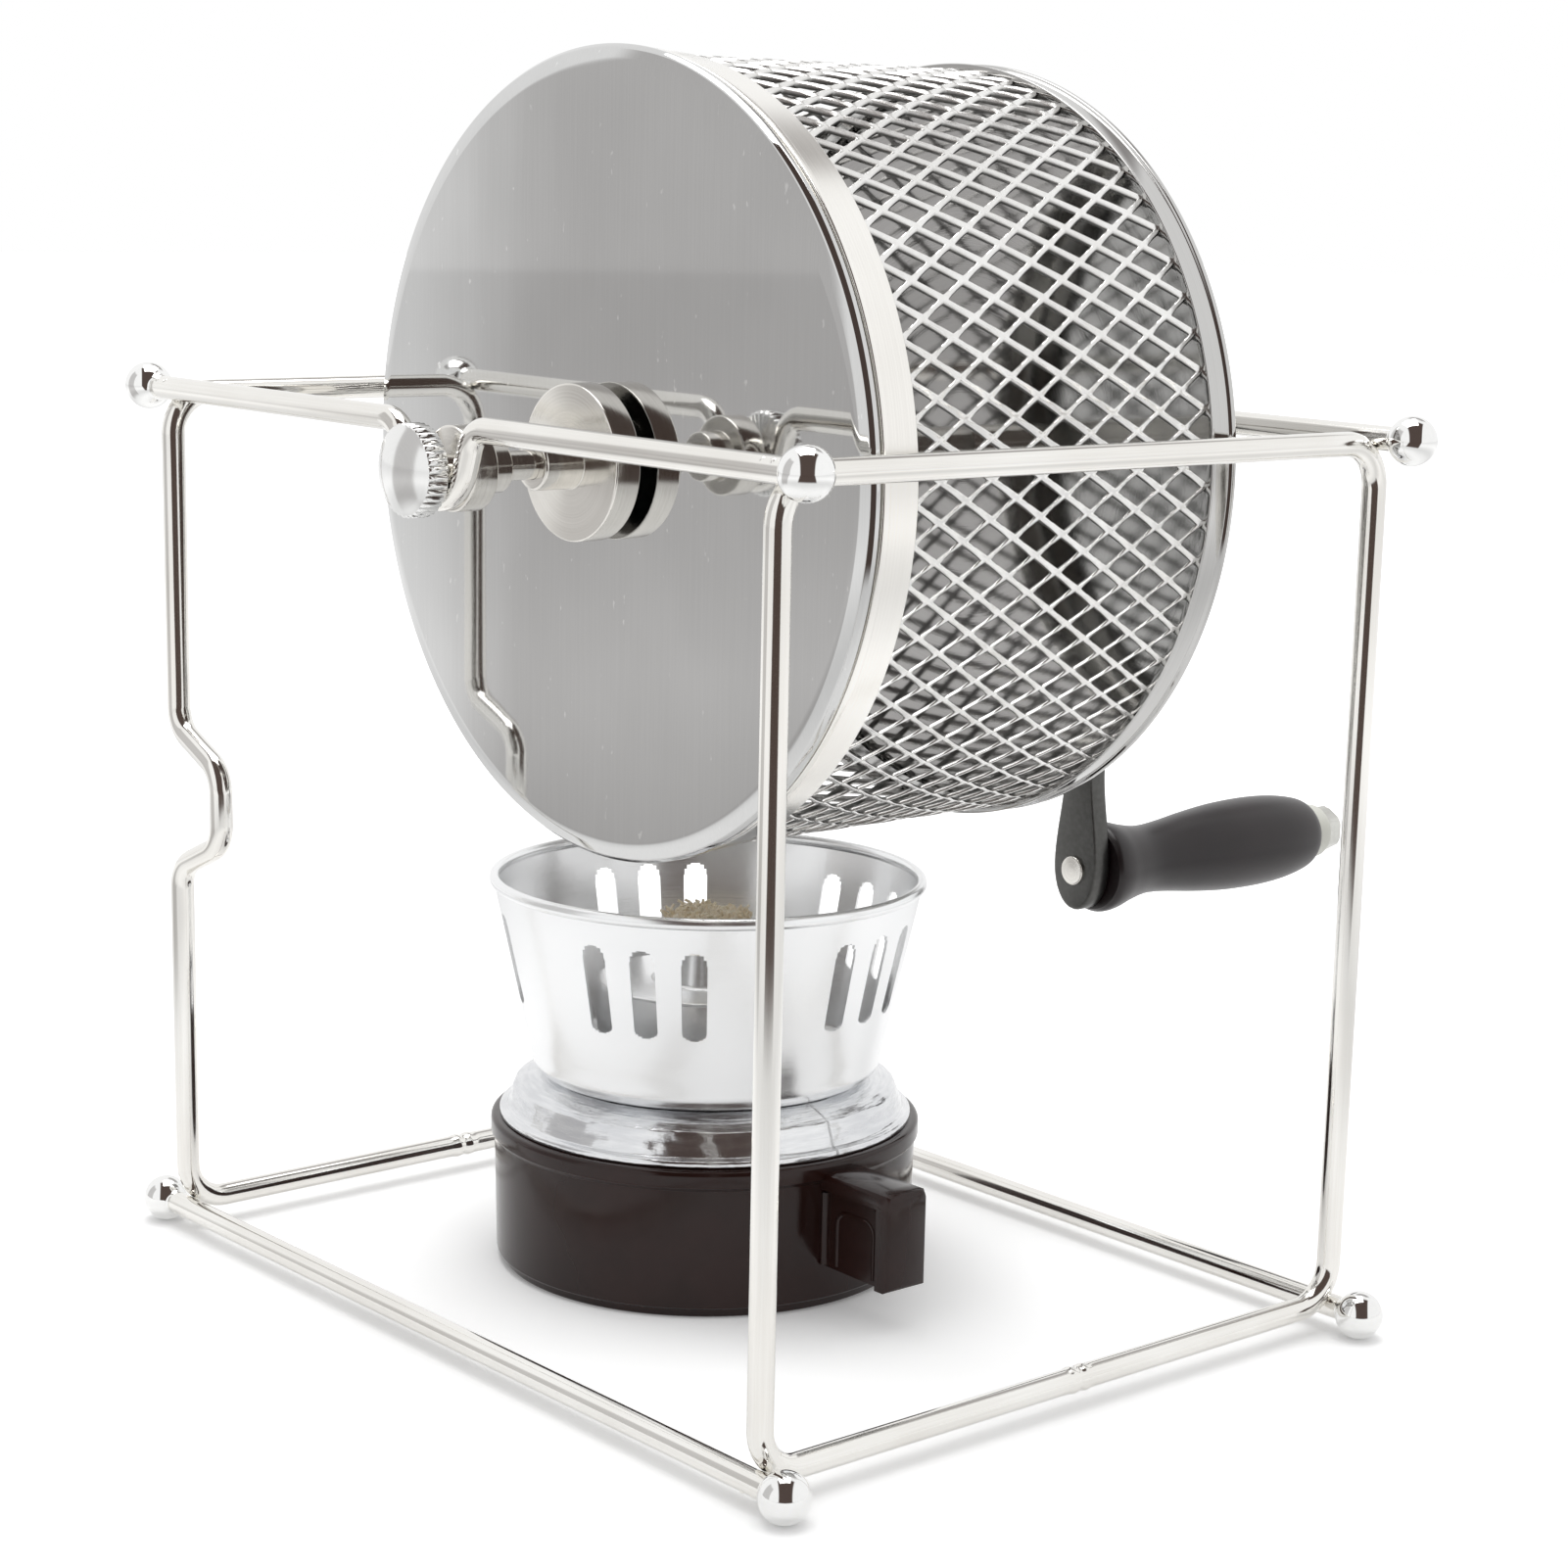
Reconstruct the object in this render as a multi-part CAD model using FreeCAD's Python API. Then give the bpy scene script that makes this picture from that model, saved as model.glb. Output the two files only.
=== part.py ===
import FreeCAD, Part
import math
import os

from FreeCAD import Placement, Rotation, Vector

# Hand cranked coffee roaster over a spirit burner, in millimetres.
# The origin is on the floor, midway between the four ball feet.
# X runs across the front, Y along the drum's axle towards the crank, Z up.

# Wire frame
WIRE_D = 5.0
BALL_D = 10.0
SPAN_X = 218.0  # ball centre to ball centre
SPAN_Y = 156.8
SPAN_Z = 182.0
LOOP_INSET = 8.3  # from a ball's centre to the plane of the side loop
LOOP_BEND_R = 9.0
WELD_GAP = 0.04  # wires touch at their welds, less this
BALL_FLAT_R = 2.6  # flat on each ball where its rail is welded on
FIT = 0.02  # radial fit of fixed pieces

# Finger notch in the left loop's front upright
NOTCH_DEPTH = 17.0
NOTCH_HALF = 15.5
NOTCH_FLAT_HALF = 8.0
NOTCH_BEND_R = 7.0
NOTCH_RISE = 2.5  # above the middle of the frame

# Axle and the saddles that carry it
AXLE_DROP = 8.6  # from the top rails down to the axle's centre
NECK_R = 2.9
AXLE_R = 4.0
SADDLE_CLEARANCE = 0.1
SADDLE_MOUTH_HALF = 12.5
SADDLE_FOOT_HALF = 7.5
SADDLE_FOOT_R = 10.3
SADDLE_SHOULDER_R = 6.0
SIDE_CLEARANCE = 0.3  # between a saddle's wire and what turns beside it
RUNNING_FIT = 0.05

# Drum
LID_SETBACK = 39.2  # from the front rail to the lid's face
DRUM_LENGTH = 98.6
DRUM_R = 79.7  # outside of the bands
SHEET = 0.8
LID_OVERHANG = 0.9  # the lid's rim outside the bands
LID_DEPTH = 2.8
LID_EDGE_R = 1.9
LID_EDGE_FACES = 3
LIP_GAP = 0.3
BEAD_W = 1.8
BEAD_H = 0.6
JOINT_LINE_W = 1.0
FRONT_BAND_W = 12.9  # from the lid's face to the mesh
REAR_BAND_W = 7.5
REAR_LIP_W = 0.8
REAR_BEAD_W = 2.0

# Expanded metal of the drum's wall
MESH_T = 1.0
MESH_AROUND = 44
MESH_ALONG = 5
STRAND_W = 1.7
MESH_HIDDEN = 4.0  # how far the mesh runs under each band

# Clamp nut, collars and thumb nut
STAND_OFF_R = 9.0
STAND_OFF_W = 2.1
CLAMP_R = 15.6
CLAMP_W = 5.9
BOSS_R = 5.1
BOSS_W = 9.2
COLLAR_R = 8.3
COLLAR_W = 6.0
STEP_R = 5.1
STEP_W = 5.6
CHAMFER = 0.5
CUT_PAST = 1.0  # how far a cutter runs past what it cuts
THUMB_R = 9.0
THUMB_W = 4.8
THUMB_DOME = 2.2
DOME_FACES = 4
THUMB_TEETH = 28
TOOTH_DEPTH = 0.45
THREAD_DEPTH = 4.0  # how far the axle reaches into the thumb nut
REAR_HUB_R = 15.0
REAR_HUB_W = 5.0

# Crank
CRANK_RADIUS = 100.0
CRANK_GAP = 17.5  # from the rear saddle's wire to the arm
ARM_T = 5.0
ARM_EYE_R = 9.5
ARM_WAIST_HALF = 4.3
ARM_WAIST_RISE = 24.0  # above the grip's centre
ARM_SHANK_HALF = 5.9  # halfway between the eye and the waist
ARM_PAD_HALF = 6.8
ARM_PAD_DROP = 9.4
ARM_PAD_SHOULDER = 1.0  # above the grip's centre
CRANK_NUT_AF = 10.0
CRANK_NUT_W = 5.0
THREAD_SHY = 1.0  # how far a thread stays inside its nut

# Grip and its bolt
BOLT_R = 3.0
BOLT_HEAD_R = 3.4
BOLT_HEAD_W = 0.9
BOLT_HEAD_EDGE = 0.3
GRIP_LENGTH = 74.0
GRIP_CLEARANCE = 0.3
GRIP_R = 10.85  # at the belly
GRIP_STATIONS = (  # share of the belly's radius, share of the grip's length
    (0.90, 0.0),
    (0.977, 0.02),
    (0.96, 0.06),
    (0.857, 0.12),
    (0.765, 0.19),
    (0.747, 0.25),
    (0.79, 0.33),
    (0.885, 0.44),
    (0.968, 0.56),
    (1.0, 0.67),
    (0.995, 0.77),
    (0.95, 0.86),
    (0.857, 0.94),
    (0.756, 0.98),
    (0.59, 1.0),
)
WASHER_R = 6.6
WASHER_W = 4.2
WASHER_EDGE = 1.2
END_NUT_AF = 10.0
END_NUT_W = 5.0

# Spirit burner
BURNER_X = -18.7
BURNER_Y = 4.8
BASE_R = 45.8
BASE_FLARE = 0.8  # the wall widens upwards
BASE_H = 29.0
BASE_WALL = 2.6
BASE_LIP_OUT = 0.5  # how far the lip stands out
BASE_LIP_H = 3.6
BASE_EDGE_R = 1.5
BASE_GROOVE = 0.9  # the step under the lip
BASE_LIP_EDGE = 1.2
BASE_LEDGE = 2.2  # how far the lip reaches under the spun collar
TAB_LENGTH = 21.5  # from the base's wall
TAB_HALF = 5.6
TAB_BOTTOM = 9.2
TAB_TOP = 30.6
TAB_RECESS = 1.3
TAB_BAR = 4.5
TAB_EDGE = 1.2
SPUN = 0.6  # thickness of the spun aluminium
SPUN_BEAD_SET_IN = 1.9  # inside the base's lip
SPUN_BEAD_W = 2.0
SPUN_BEAD_H = 1.2
SPUN_SLOPE_W = 3.5
SPUN_SHOULDER_W = 2.2
SPUN_SHOULDER_AT = 0.72  # share of the rise
SPUN_ROUND_W = 4.5  # from the shoulder in to the flat neck
SPUN_RISE = 9.6
CUP_R = 24.0
CUP_TOP = 62.0
HOLDER_R = 10.6
HOLDER_H = 8.0
HOLDER_FILLET = 1.5
WICK_R = 9.6
WICK_TOP = 79.5
WICK_CROWN_W = 2.2
WICK_CROWN_H = 2.5
CUP_FLOOR_GAP = 1.0

# Windscreen
SCREEN_T = 0.8
SCREEN_TOP = 86.4
SCREEN_FLARE = 8.4  # from its foot out to its rim
SCREEN_OVERHANG = 3.4  # its foot outside the collar's flat neck
SCREEN_FOOT_BEND = 4.6
SCREEN_SEAT_W = 4.0  # how far it reaches in over the flat neck
SCREEN_ROLL_R = 1.3
SLOT_GROUPS = 5
SLOTS_IN_GROUP = 3
SLOT_FIRST_ANGLE = -56.5
SLOT_STEP = 14.2
SLOT_W = 5.3
SLOT_BOTTOM = 58.9
SLOT_TOP = 78.6
SLOT_END_FACES = 3
ROLL_FACES = 7
FOOT_FACES = 3

# Worked out from the sizes above
WIRE_R = WIRE_D / 2
BALL_R = BALL_D / 2
RAIL_END_X = SPAN_X / 2 - math.sqrt(BALL_R**2 - BALL_FLAT_R**2)
LOW_Z = BALL_R
HIGH_Z = LOW_Z + SPAN_Z
RAIL_Y = SPAN_Y / 2
LOOP_X = SPAN_X / 2 - LOOP_INSET
NEST = LOOP_BEND_R - (LOOP_BEND_R + WIRE_D + WELD_GAP) / math.sqrt(2)
LOOP_Y = RAIL_Y + NEST
LOOP_LOW_Z = LOW_Z - NEST
LOOP_HIGH_Z = HIGH_Z + NEST
AXLE_Z = HIGH_Z - AXLE_DROP
LID_Y = -RAIL_Y + LID_SETBACK
DRUM_BACK_Y = LID_Y + DRUM_LENGTH
LID_BACK_Y = LID_Y + LID_DEPTH
LID_R = DRUM_R + LID_OVERHANG
MESH_R = DRUM_R - SHEET - FIT
MESH_Y0 = LID_Y + FRONT_BAND_W
MESH_Y1 = DRUM_BACK_Y - REAR_BAND_W
FRONT_WIRE_Y = -RAIL_Y - WIRE_R
REAR_WIRE_Y = RAIL_Y + WIRE_R
COLLAR_Y = -RAIL_Y + WIRE_R + SIDE_CLEARANCE
THUMB_Y = FRONT_WIRE_Y - SIDE_CLEARANCE
REAR_COLLAR_Y = RAIL_Y - WIRE_R - SIDE_CLEARANCE
CRANK_COLLAR_Y = REAR_WIRE_Y + SIDE_CLEARANCE
ARM_Y = REAR_WIRE_Y + CRANK_GAP
ARM_BACK_Y = ARM_Y + ARM_T
GRIP_Z = AXLE_Z - CRANK_RADIUS
GRIP_Y = ARM_BACK_Y + GRIP_CLEARANCE
GRIP_END_Y = GRIP_Y + GRIP_LENGTH
BASE_TOP_R = BASE_R + BASE_FLARE
BASE_LIP_R = BASE_TOP_R + BASE_LIP_OUT
LIP_Z = BASE_H
TAB_REACH = BASE_R + TAB_LENGTH
SPUN_Z = BASE_H + BASE_LIP_H
SPUN_BEAD_R = BASE_LIP_R - SPUN_BEAD_SET_IN
SPUN_SLOPE_R = SPUN_BEAD_R - SPUN_SLOPE_W
SPUN_SHOULDER_R = SPUN_SLOPE_R - SPUN_SHOULDER_W
SPUN_NECK_R = SPUN_SHOULDER_R - SPUN_ROUND_W
NECK_Z = SPUN_Z + SPUN_RISE
SCREEN_Z = NECK_Z
SCREEN_FOOT_R = SPUN_NECK_R + SCREEN_OVERHANG
SCREEN_TOP_R = SCREEN_FOOT_R + SCREEN_FLARE
SCREEN_HOLE_R = SPUN_NECK_R - SCREEN_SEAT_W

X_AXIS = Vector(1, 0, 0)
Y_AXIS = Vector(0, 1, 0)
Z_AXIS = Vector(0, 0, 1)
AXLE_LINE = Vector(0, 0, AXLE_Z)
GRIP_LINE = Vector(0, 0, GRIP_Z)
BURNER_LINE = Vector(BURNER_X, BURNER_Y, 0)


def save(name, shape):
    """Write one piece, or one group of alike pieces, as its own file."""
    shape.exportStep("parts/" + name + ".step")


def round_corner(before, corner, after, radius):
    """Where a bend of this radius starts, its middle point, and where it ends."""
    back = (before - corner).normalize()
    ahead = (after - corner).normalize()
    half = back.getAngle(ahead) / 2
    reach = radius / math.tan(half)
    start = corner + back * reach
    end = corner + ahead * reach
    inward = (back + ahead).normalize()
    middle = corner + inward * (radius / math.sin(half) - radius)
    return start, middle, end


def bent_path(points, radii):
    """A path of straight runs joined by tangent arcs, one radius for each inner point."""
    edges = []
    here = points[0]
    for i, radius in enumerate(radii):
        start, middle, end = round_corner(points[i], points[i + 1], points[i + 2], radius)
        edges.append(Part.LineSegment(here, start).toShape())
        edges.append(Part.Arc(start, middle, end).toShape())
        here = end
    edges.append(Part.LineSegment(here, points[-1]).toShape())
    return Part.Wire(edges)


def bent_wire(points, radii):
    """Round wire swept along a bent path."""
    path = bent_path(points, radii)
    direction = points[1] - points[0]
    section = Part.Wire(Part.Circle(points[0], direction, WIRE_R).toShape())
    return path.makePipeShell([section], True, False)


def turned(points, line, axis):
    """A turned piece: (radius, station) points revolved about a line along Y or Z."""
    corners = []
    for radius, station in points:
        if axis == Y_AXIS:
            corners.append(Vector(radius, station, 0))
        else:
            corners.append(Vector(radius, 0, station))
    outline = Part.Face(Part.makePolygon(corners + [corners[0]]))
    body = outline.revolve(Vector(0, 0, 0), axis, 360)
    body.translate(line)
    return body


def quarter_round(start_r, start, end_r, end, faces):
    """Points of a quarter round that leaves its start along the radius and ends along the axis."""
    points = []
    for i in range(faces + 1):
        turn = math.pi / 2 * i / faces
        radius = start_r + (end_r - start_r) * math.sin(turn)
        points.append((radius, start + (end - start) * (1 - math.cos(turn))))
    return points


def revolved_edges(edges, line, axis):
    """A turned piece whose half section is given as edges."""
    outline = Part.Face(Part.Wire(edges))
    body = outline.revolve(Vector(0, 0, 0), axis, 360)
    body.translate(line)
    return body


def rod(radius, start, end, line):
    """A round bar along Y."""
    base = Vector(line.x, start, line.z)
    return Part.makeCylinder(radius, end - start, base, Y_AXIS)


def upright_rod(radius, low, high, line):
    """A round bar along Z."""
    base = Vector(line.x, line.y, low)
    return Part.makeCylinder(radius, high - low, base, Z_AXIS)


def hexagon_bar(across_flats, start, end, line):
    """A hexagonal bar along Y with its corners chamfered at the far end."""
    across_corners = across_flats / math.cos(math.pi / 6)
    corners = []
    for i in range(7):
        angle = math.radians(60 * i)
        x = line.x + across_corners / 2 * math.cos(angle)
        z = line.z + across_corners / 2 * math.sin(angle)
        corners.append(Vector(x, start, z))
    bar = Part.Face(Part.makePolygon(corners)).extrude(Vector(0, end - start, 0))
    slope = (across_corners - across_flats) / 2
    dome = turned(
        [
            (0, start),
            (across_corners / 2 + CUT_PAST, start),
            (across_corners / 2 + CUT_PAST, end - slope - CUT_PAST),
            (across_flats / 2, end),
            (0, end),
        ],
        line,
        Y_AXIS,
    )
    return bar.common(dome)


def loop_half(x, side_y, notched):
    """Half of a side loop, from the bottom weld up one upright to the top's middle."""
    points = [
        Vector(x, 0, LOOP_LOW_Z),
        Vector(x, side_y, LOOP_LOW_Z),
    ]
    radii = [LOOP_BEND_R]
    if notched:
        middle = (LOW_Z + HIGH_Z) / 2 + NOTCH_RISE
        inner = x + NOTCH_DEPTH
        points += [
            Vector(x, side_y, middle - NOTCH_HALF),
            Vector(inner, side_y, middle - NOTCH_FLAT_HALF),
            Vector(inner, side_y, middle + NOTCH_FLAT_HALF),
            Vector(x, side_y, middle + NOTCH_HALF),
        ]
        radii += [NOTCH_BEND_R] * 4
    points += [
        Vector(x, side_y, LOOP_HIGH_Z),
        Vector(x, 0, LOOP_HIGH_Z),
    ]
    radii.append(LOOP_BEND_R)
    return bent_wire(points, radii)


def side_loop(x, notched):
    """A rectangular wire loop with round corners, closed by a weld at the bottom."""
    front = loop_half(x, -LOOP_Y, notched)
    back = loop_half(x, LOOP_Y, False)
    return front.fuse(back).removeSplitter()


def straight_rail(y, z):
    """A cross wire that runs straight from ball to ball."""
    return Part.makeCylinder(WIRE_R, 2 * RAIL_END_X, Vector(-RAIL_END_X, y, z), X_AXIS)


def saddle_rail(y):
    """A top cross wire with the U saddle that holds the axle's neck."""
    foot_z = AXLE_Z - NECK_R - SADDLE_CLEARANCE - WIRE_R
    points = [
        Vector(-RAIL_END_X, y, HIGH_Z),
        Vector(-SADDLE_MOUTH_HALF, y, HIGH_Z),
        Vector(-SADDLE_FOOT_HALF, y, foot_z),
        Vector(SADDLE_FOOT_HALF, y, foot_z),
        Vector(SADDLE_MOUTH_HALF, y, HIGH_Z),
        Vector(RAIL_END_X, y, HIGH_Z),
    ]
    radii = [SADDLE_SHOULDER_R, SADDLE_FOOT_R, SADDLE_FOOT_R, SADDLE_SHOULDER_R]
    return bent_wire(points, radii)


def ball(centre, side):
    """A ball turned about its rail's line, with a flat where the rail is welded on."""
    flat = side * (RAIL_END_X - SPAN_X / 2)
    pole = side * BALL_R
    shoulder = side * BALL_R * math.sqrt(0.5)
    edges = [
        Part.LineSegment(Vector(flat, 0, 0), Vector(flat, 0, BALL_FLAT_R)).toShape(),
        Part.Arc(
            Vector(flat, 0, BALL_FLAT_R),
            Vector(shoulder, 0, abs(shoulder)),
            Vector(pole, 0, 0),
        ).toShape(),
        Part.LineSegment(Vector(pole, 0, 0), Vector(flat, 0, 0)).toShape(),
    ]
    return revolved_edges(edges, centre, X_AXIS)


def ball_ends(z):
    """The four balls on the ends of one pair of rails."""
    balls = []
    for side_x in (-1, 1):
        for side_y in (-1, 1):
            centre = Vector(side_x * SPAN_X / 2, side_y * RAIL_Y, z)
            balls.append(ball(centre, side_x))
    return Part.makeCompound(balls)


def axle():
    """The stepped axle, thick through the drum and thin in both saddles."""
    crank_end = ARM_BACK_Y + CRANK_NUT_W - THREAD_SHY
    rear_shoulder = REAR_COLLAR_Y - COLLAR_W
    front_end = THUMB_Y - THREAD_DEPTH
    return turned(
        [
            (0, front_end),
            (NECK_R - CHAMFER, front_end),
            (NECK_R, front_end + CHAMFER),
            (NECK_R, LID_Y + SHEET),
            (AXLE_R, LID_Y + SHEET),
            (AXLE_R, rear_shoulder),
            (NECK_R, rear_shoulder),
            (NECK_R, crank_end - CHAMFER),
            (NECK_R - CHAMFER, crank_end),
            (0, crank_end),
        ],
        AXLE_LINE,
        Y_AXIS,
    )


def stepped_collar(bore, collar_y, step_length, towards):
    """A turned collar with a thinner step behind it, bored for the axle."""
    collar_end = collar_y + towards * COLLAR_W
    step_end = collar_end + towards * step_length
    return turned(
        [
            (bore, collar_y),
            (COLLAR_R - CHAMFER, collar_y),
            (COLLAR_R, collar_y + towards * CHAMFER),
            (COLLAR_R, collar_end - towards * CHAMFER),
            (COLLAR_R - CHAMFER, collar_end),
            (STEP_R, collar_end),
            (STEP_R, step_end),
            (bore, step_end),
        ],
        AXLE_LINE,
        Y_AXIS,
    )


def rear_collar():
    """The collar between the drum and the rear saddle, seated on the axle's shoulder."""
    inner = REAR_COLLAR_Y - COLLAR_W
    return turned(
        [
            (NECK_R + FIT, inner),
            (COLLAR_R, inner),
            (COLLAR_R, REAR_COLLAR_Y - CHAMFER),
            (COLLAR_R - CHAMFER, REAR_COLLAR_Y),
            (NECK_R + FIT, REAR_COLLAR_Y),
        ],
        AXLE_LINE,
        Y_AXIS,
    )


def clamp_nut():
    """The thick disc that clamps the lid, with its stand-off and its front boss."""
    bore = NECK_R + RUNNING_FIT
    disc_back = LID_Y - STAND_OFF_W
    disc_front = disc_back - CLAMP_W
    boss_front = disc_front - BOSS_W
    return turned(
        [
            (bore, boss_front),
            (BOSS_R - CHAMFER, boss_front),
            (BOSS_R, boss_front + CHAMFER),
            (BOSS_R, disc_front),
            (CLAMP_R - CHAMFER, disc_front),
            (CLAMP_R, disc_front + CHAMFER),
            (CLAMP_R, disc_back - CHAMFER),
            (CLAMP_R - CHAMFER, disc_back),
            (STAND_OFF_R, disc_back),
            (STAND_OFF_R, LID_Y),
            (bore, LID_Y),
        ],
        AXLE_LINE,
        Y_AXIS,
    )


def thumb_nut():
    """The domed thumb nut with a notched edge, threaded on the axle's end."""
    front = THUMB_Y - THUMB_W
    bore = NECK_R + RUNNING_FIT
    bore_end = THUMB_Y - THREAD_DEPTH - CHAMFER
    dome = quarter_round(0, front - THUMB_DOME, THUMB_R, front, DOME_FACES)
    rim = [
        (THUMB_R, THUMB_Y - CHAMFER),
        (THUMB_R - CHAMFER, THUMB_Y),
        (bore, THUMB_Y),
        (bore, bore_end),
        (0, bore_end),
    ]
    nut = turned(dome + rim, AXLE_LINE, Y_AXIS)
    notch_half = math.pi * THUMB_R / THUMB_TEETH / 2
    corners = [
        Vector(-notch_half, 0, THUMB_R + CUT_PAST),
        Vector(0, 0, THUMB_R - TOOTH_DEPTH),
        Vector(notch_half, 0, THUMB_R + CUT_PAST),
    ]
    groove = Part.Face(Part.makePolygon(corners + [corners[0]])).extrude(Y_AXIS * (THUMB_W + 2 * CHAMFER))
    groove.translate(Vector(0, front - CHAMFER, 0))
    grooves = []
    for i in range(THUMB_TEETH):
        copy = groove.copy()
        copy.rotate(Vector(0, 0, 0), Y_AXIS, 360 * (i + 0.5) / THUMB_TEETH)
        copy.translate(AXLE_LINE)
        grooves.append(copy)
    return nut.cut(grooves)


def lid():
    """The pressed lid: a disc with a rounded edge and a short skirt."""
    bore = NECK_R + RUNNING_FIT
    flat = LID_R - LID_EDGE_R
    edge = quarter_round(flat, LID_Y, LID_R, LID_Y + LID_EDGE_R, LID_EDGE_FACES)
    inside = [
        (LID_R, LID_BACK_Y),
        (LID_R - SHEET, LID_BACK_Y),
        (LID_R - SHEET, LID_Y + LID_EDGE_R),
        (flat, LID_Y + SHEET),
        (bore, LID_Y + SHEET),
    ]
    return turned([(bore, LID_Y)] + edge + inside, AXLE_LINE, Y_AXIS)


def front_band():
    """The drum's front ring: a lip inside the lid's skirt, a bead, and the band."""
    lip_r = LID_R - SHEET - LIP_GAP
    lip_y = LID_Y + LID_EDGE_R + LIP_GAP
    bead_y = LID_BACK_Y + JOINT_LINE_W
    bead_end = bead_y + BEAD_W
    inner = DRUM_R - SHEET
    return turned(
        [
            (lip_r - SHEET, lip_y),
            (lip_r, lip_y),
            (lip_r, LID_BACK_Y + FIT),
            (LID_R - SHEET, LID_BACK_Y + FIT),
            (LID_R - SHEET, bead_y),
            (DRUM_R + BEAD_H, bead_y + FIT),
            (DRUM_R + BEAD_H, bead_end),
            (DRUM_R, bead_end + FIT),
            (DRUM_R, MESH_Y0),
            (inner, MESH_Y0),
            (inner, LID_BACK_Y),
            (lip_r - SHEET, LID_BACK_Y - FIT),
        ],
        AXLE_LINE,
        Y_AXIS,
    )


def rear_plate():
    """The drum's rear end: a plate and its band in one pressing, with a rolled edge."""
    inner = DRUM_R - SHEET
    bead_y = DRUM_BACK_Y - REAR_BEAD_W
    lip_y = MESH_Y1 + REAR_LIP_W
    return turned(
        [
            (AXLE_R + FIT, DRUM_BACK_Y - SHEET),
            (inner, DRUM_BACK_Y - SHEET),
            (inner, MESH_Y1),
            (DRUM_R + BEAD_H, MESH_Y1),
            (DRUM_R + BEAD_H, lip_y),
            (DRUM_R, lip_y),
            (DRUM_R, bead_y),
            (DRUM_R + BEAD_H, bead_y + BEAD_H),
            (DRUM_R + BEAD_H, DRUM_BACK_Y - BEAD_H),
            (DRUM_R, DRUM_BACK_Y),
            (AXLE_R + FIT, DRUM_BACK_Y),
        ],
        AXLE_LINE,
        Y_AXIS,
    )


def diamond_prism(half_long, half_round, y, angle):
    """One diamond opening of the mesh, as a prism that points away from the axle."""
    low = MESH_R - MESH_T - CUT_PAST
    corners = [
        Vector(0, y - half_long, low),
        Vector(half_round, y, low),
        Vector(0, y + half_long, low),
        Vector(-half_round, y, low),
    ]
    prism = Part.Face(Part.makePolygon(corners + [corners[0]])).extrude(Vector(0, 0, MESH_T + 2 * CUT_PAST))
    prism.rotate(Vector(0, 0, 0), Y_AXIS, angle)
    return prism


def mesh_sector(step):
    """The mesh over one pitch round the drum, as a flat strip with its openings."""
    outer = MESH_R
    inner = MESH_R - MESH_T
    low_y = MESH_Y0 - MESH_HIDDEN
    high_y = MESH_Y1 + MESH_HIDDEN
    half = math.radians(step / 2)
    corners = []
    for radius, side in ((outer, -1), (outer, 1), (inner, 1), (inner, -1)):
        corners.append(Vector(side * radius * math.sin(half), low_y, radius * math.cos(half)))
    strip = Part.Face(Part.makePolygon(corners + [corners[0]])).extrude(Y_AXIS * (high_y - low_y))
    pitch_long = (MESH_Y1 - MESH_Y0) / MESH_ALONG
    pitch_round = 2 * outer * math.sin(half)
    slant = math.hypot(pitch_long, pitch_round)
    half_long = pitch_long / 2 - STRAND_W / 2 * slant / pitch_round
    half_round = pitch_round / 2 - STRAND_W / 2 * slant / pitch_long
    openings = []
    for i in range(MESH_ALONG):
        y = MESH_Y0 + pitch_long * (i + 0.5)
        openings.append(diamond_prism(half_long, half_round, y, 0))
    for i in range(1, MESH_ALONG):
        y = MESH_Y0 + pitch_long * i
        openings.append(diamond_prism(half_long, half_round, y, step / 2))
        openings.append(diamond_prism(half_long, half_round, y, -step / 2))
    return strip.cut(openings)


def drum_mesh():
    """The expanded metal wall of the drum, a ring of alike strips."""
    step = 360 / MESH_AROUND
    sector = mesh_sector(step)
    strips = []
    for i in range(MESH_AROUND):
        copy = sector.copy()
        copy.rotate(Vector(0, 0, 0), Y_AXIS, step * i)
        strips.append(copy)
    wall = strips[0].multiFuse(strips[1:])
    wall.translate(AXLE_LINE)
    return wall


def rear_hub():
    """The flange that fixes the drum's rear plate to the axle."""
    bore = AXLE_R + FIT
    back = DRUM_BACK_Y + REAR_HUB_W
    return turned(
        [
            (bore, DRUM_BACK_Y),
            (REAR_HUB_R, DRUM_BACK_Y),
            (REAR_HUB_R, back - CHAMFER),
            (REAR_HUB_R - CHAMFER, back),
            (bore, back),
        ],
        AXLE_LINE,
        Y_AXIS,
    )


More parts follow.
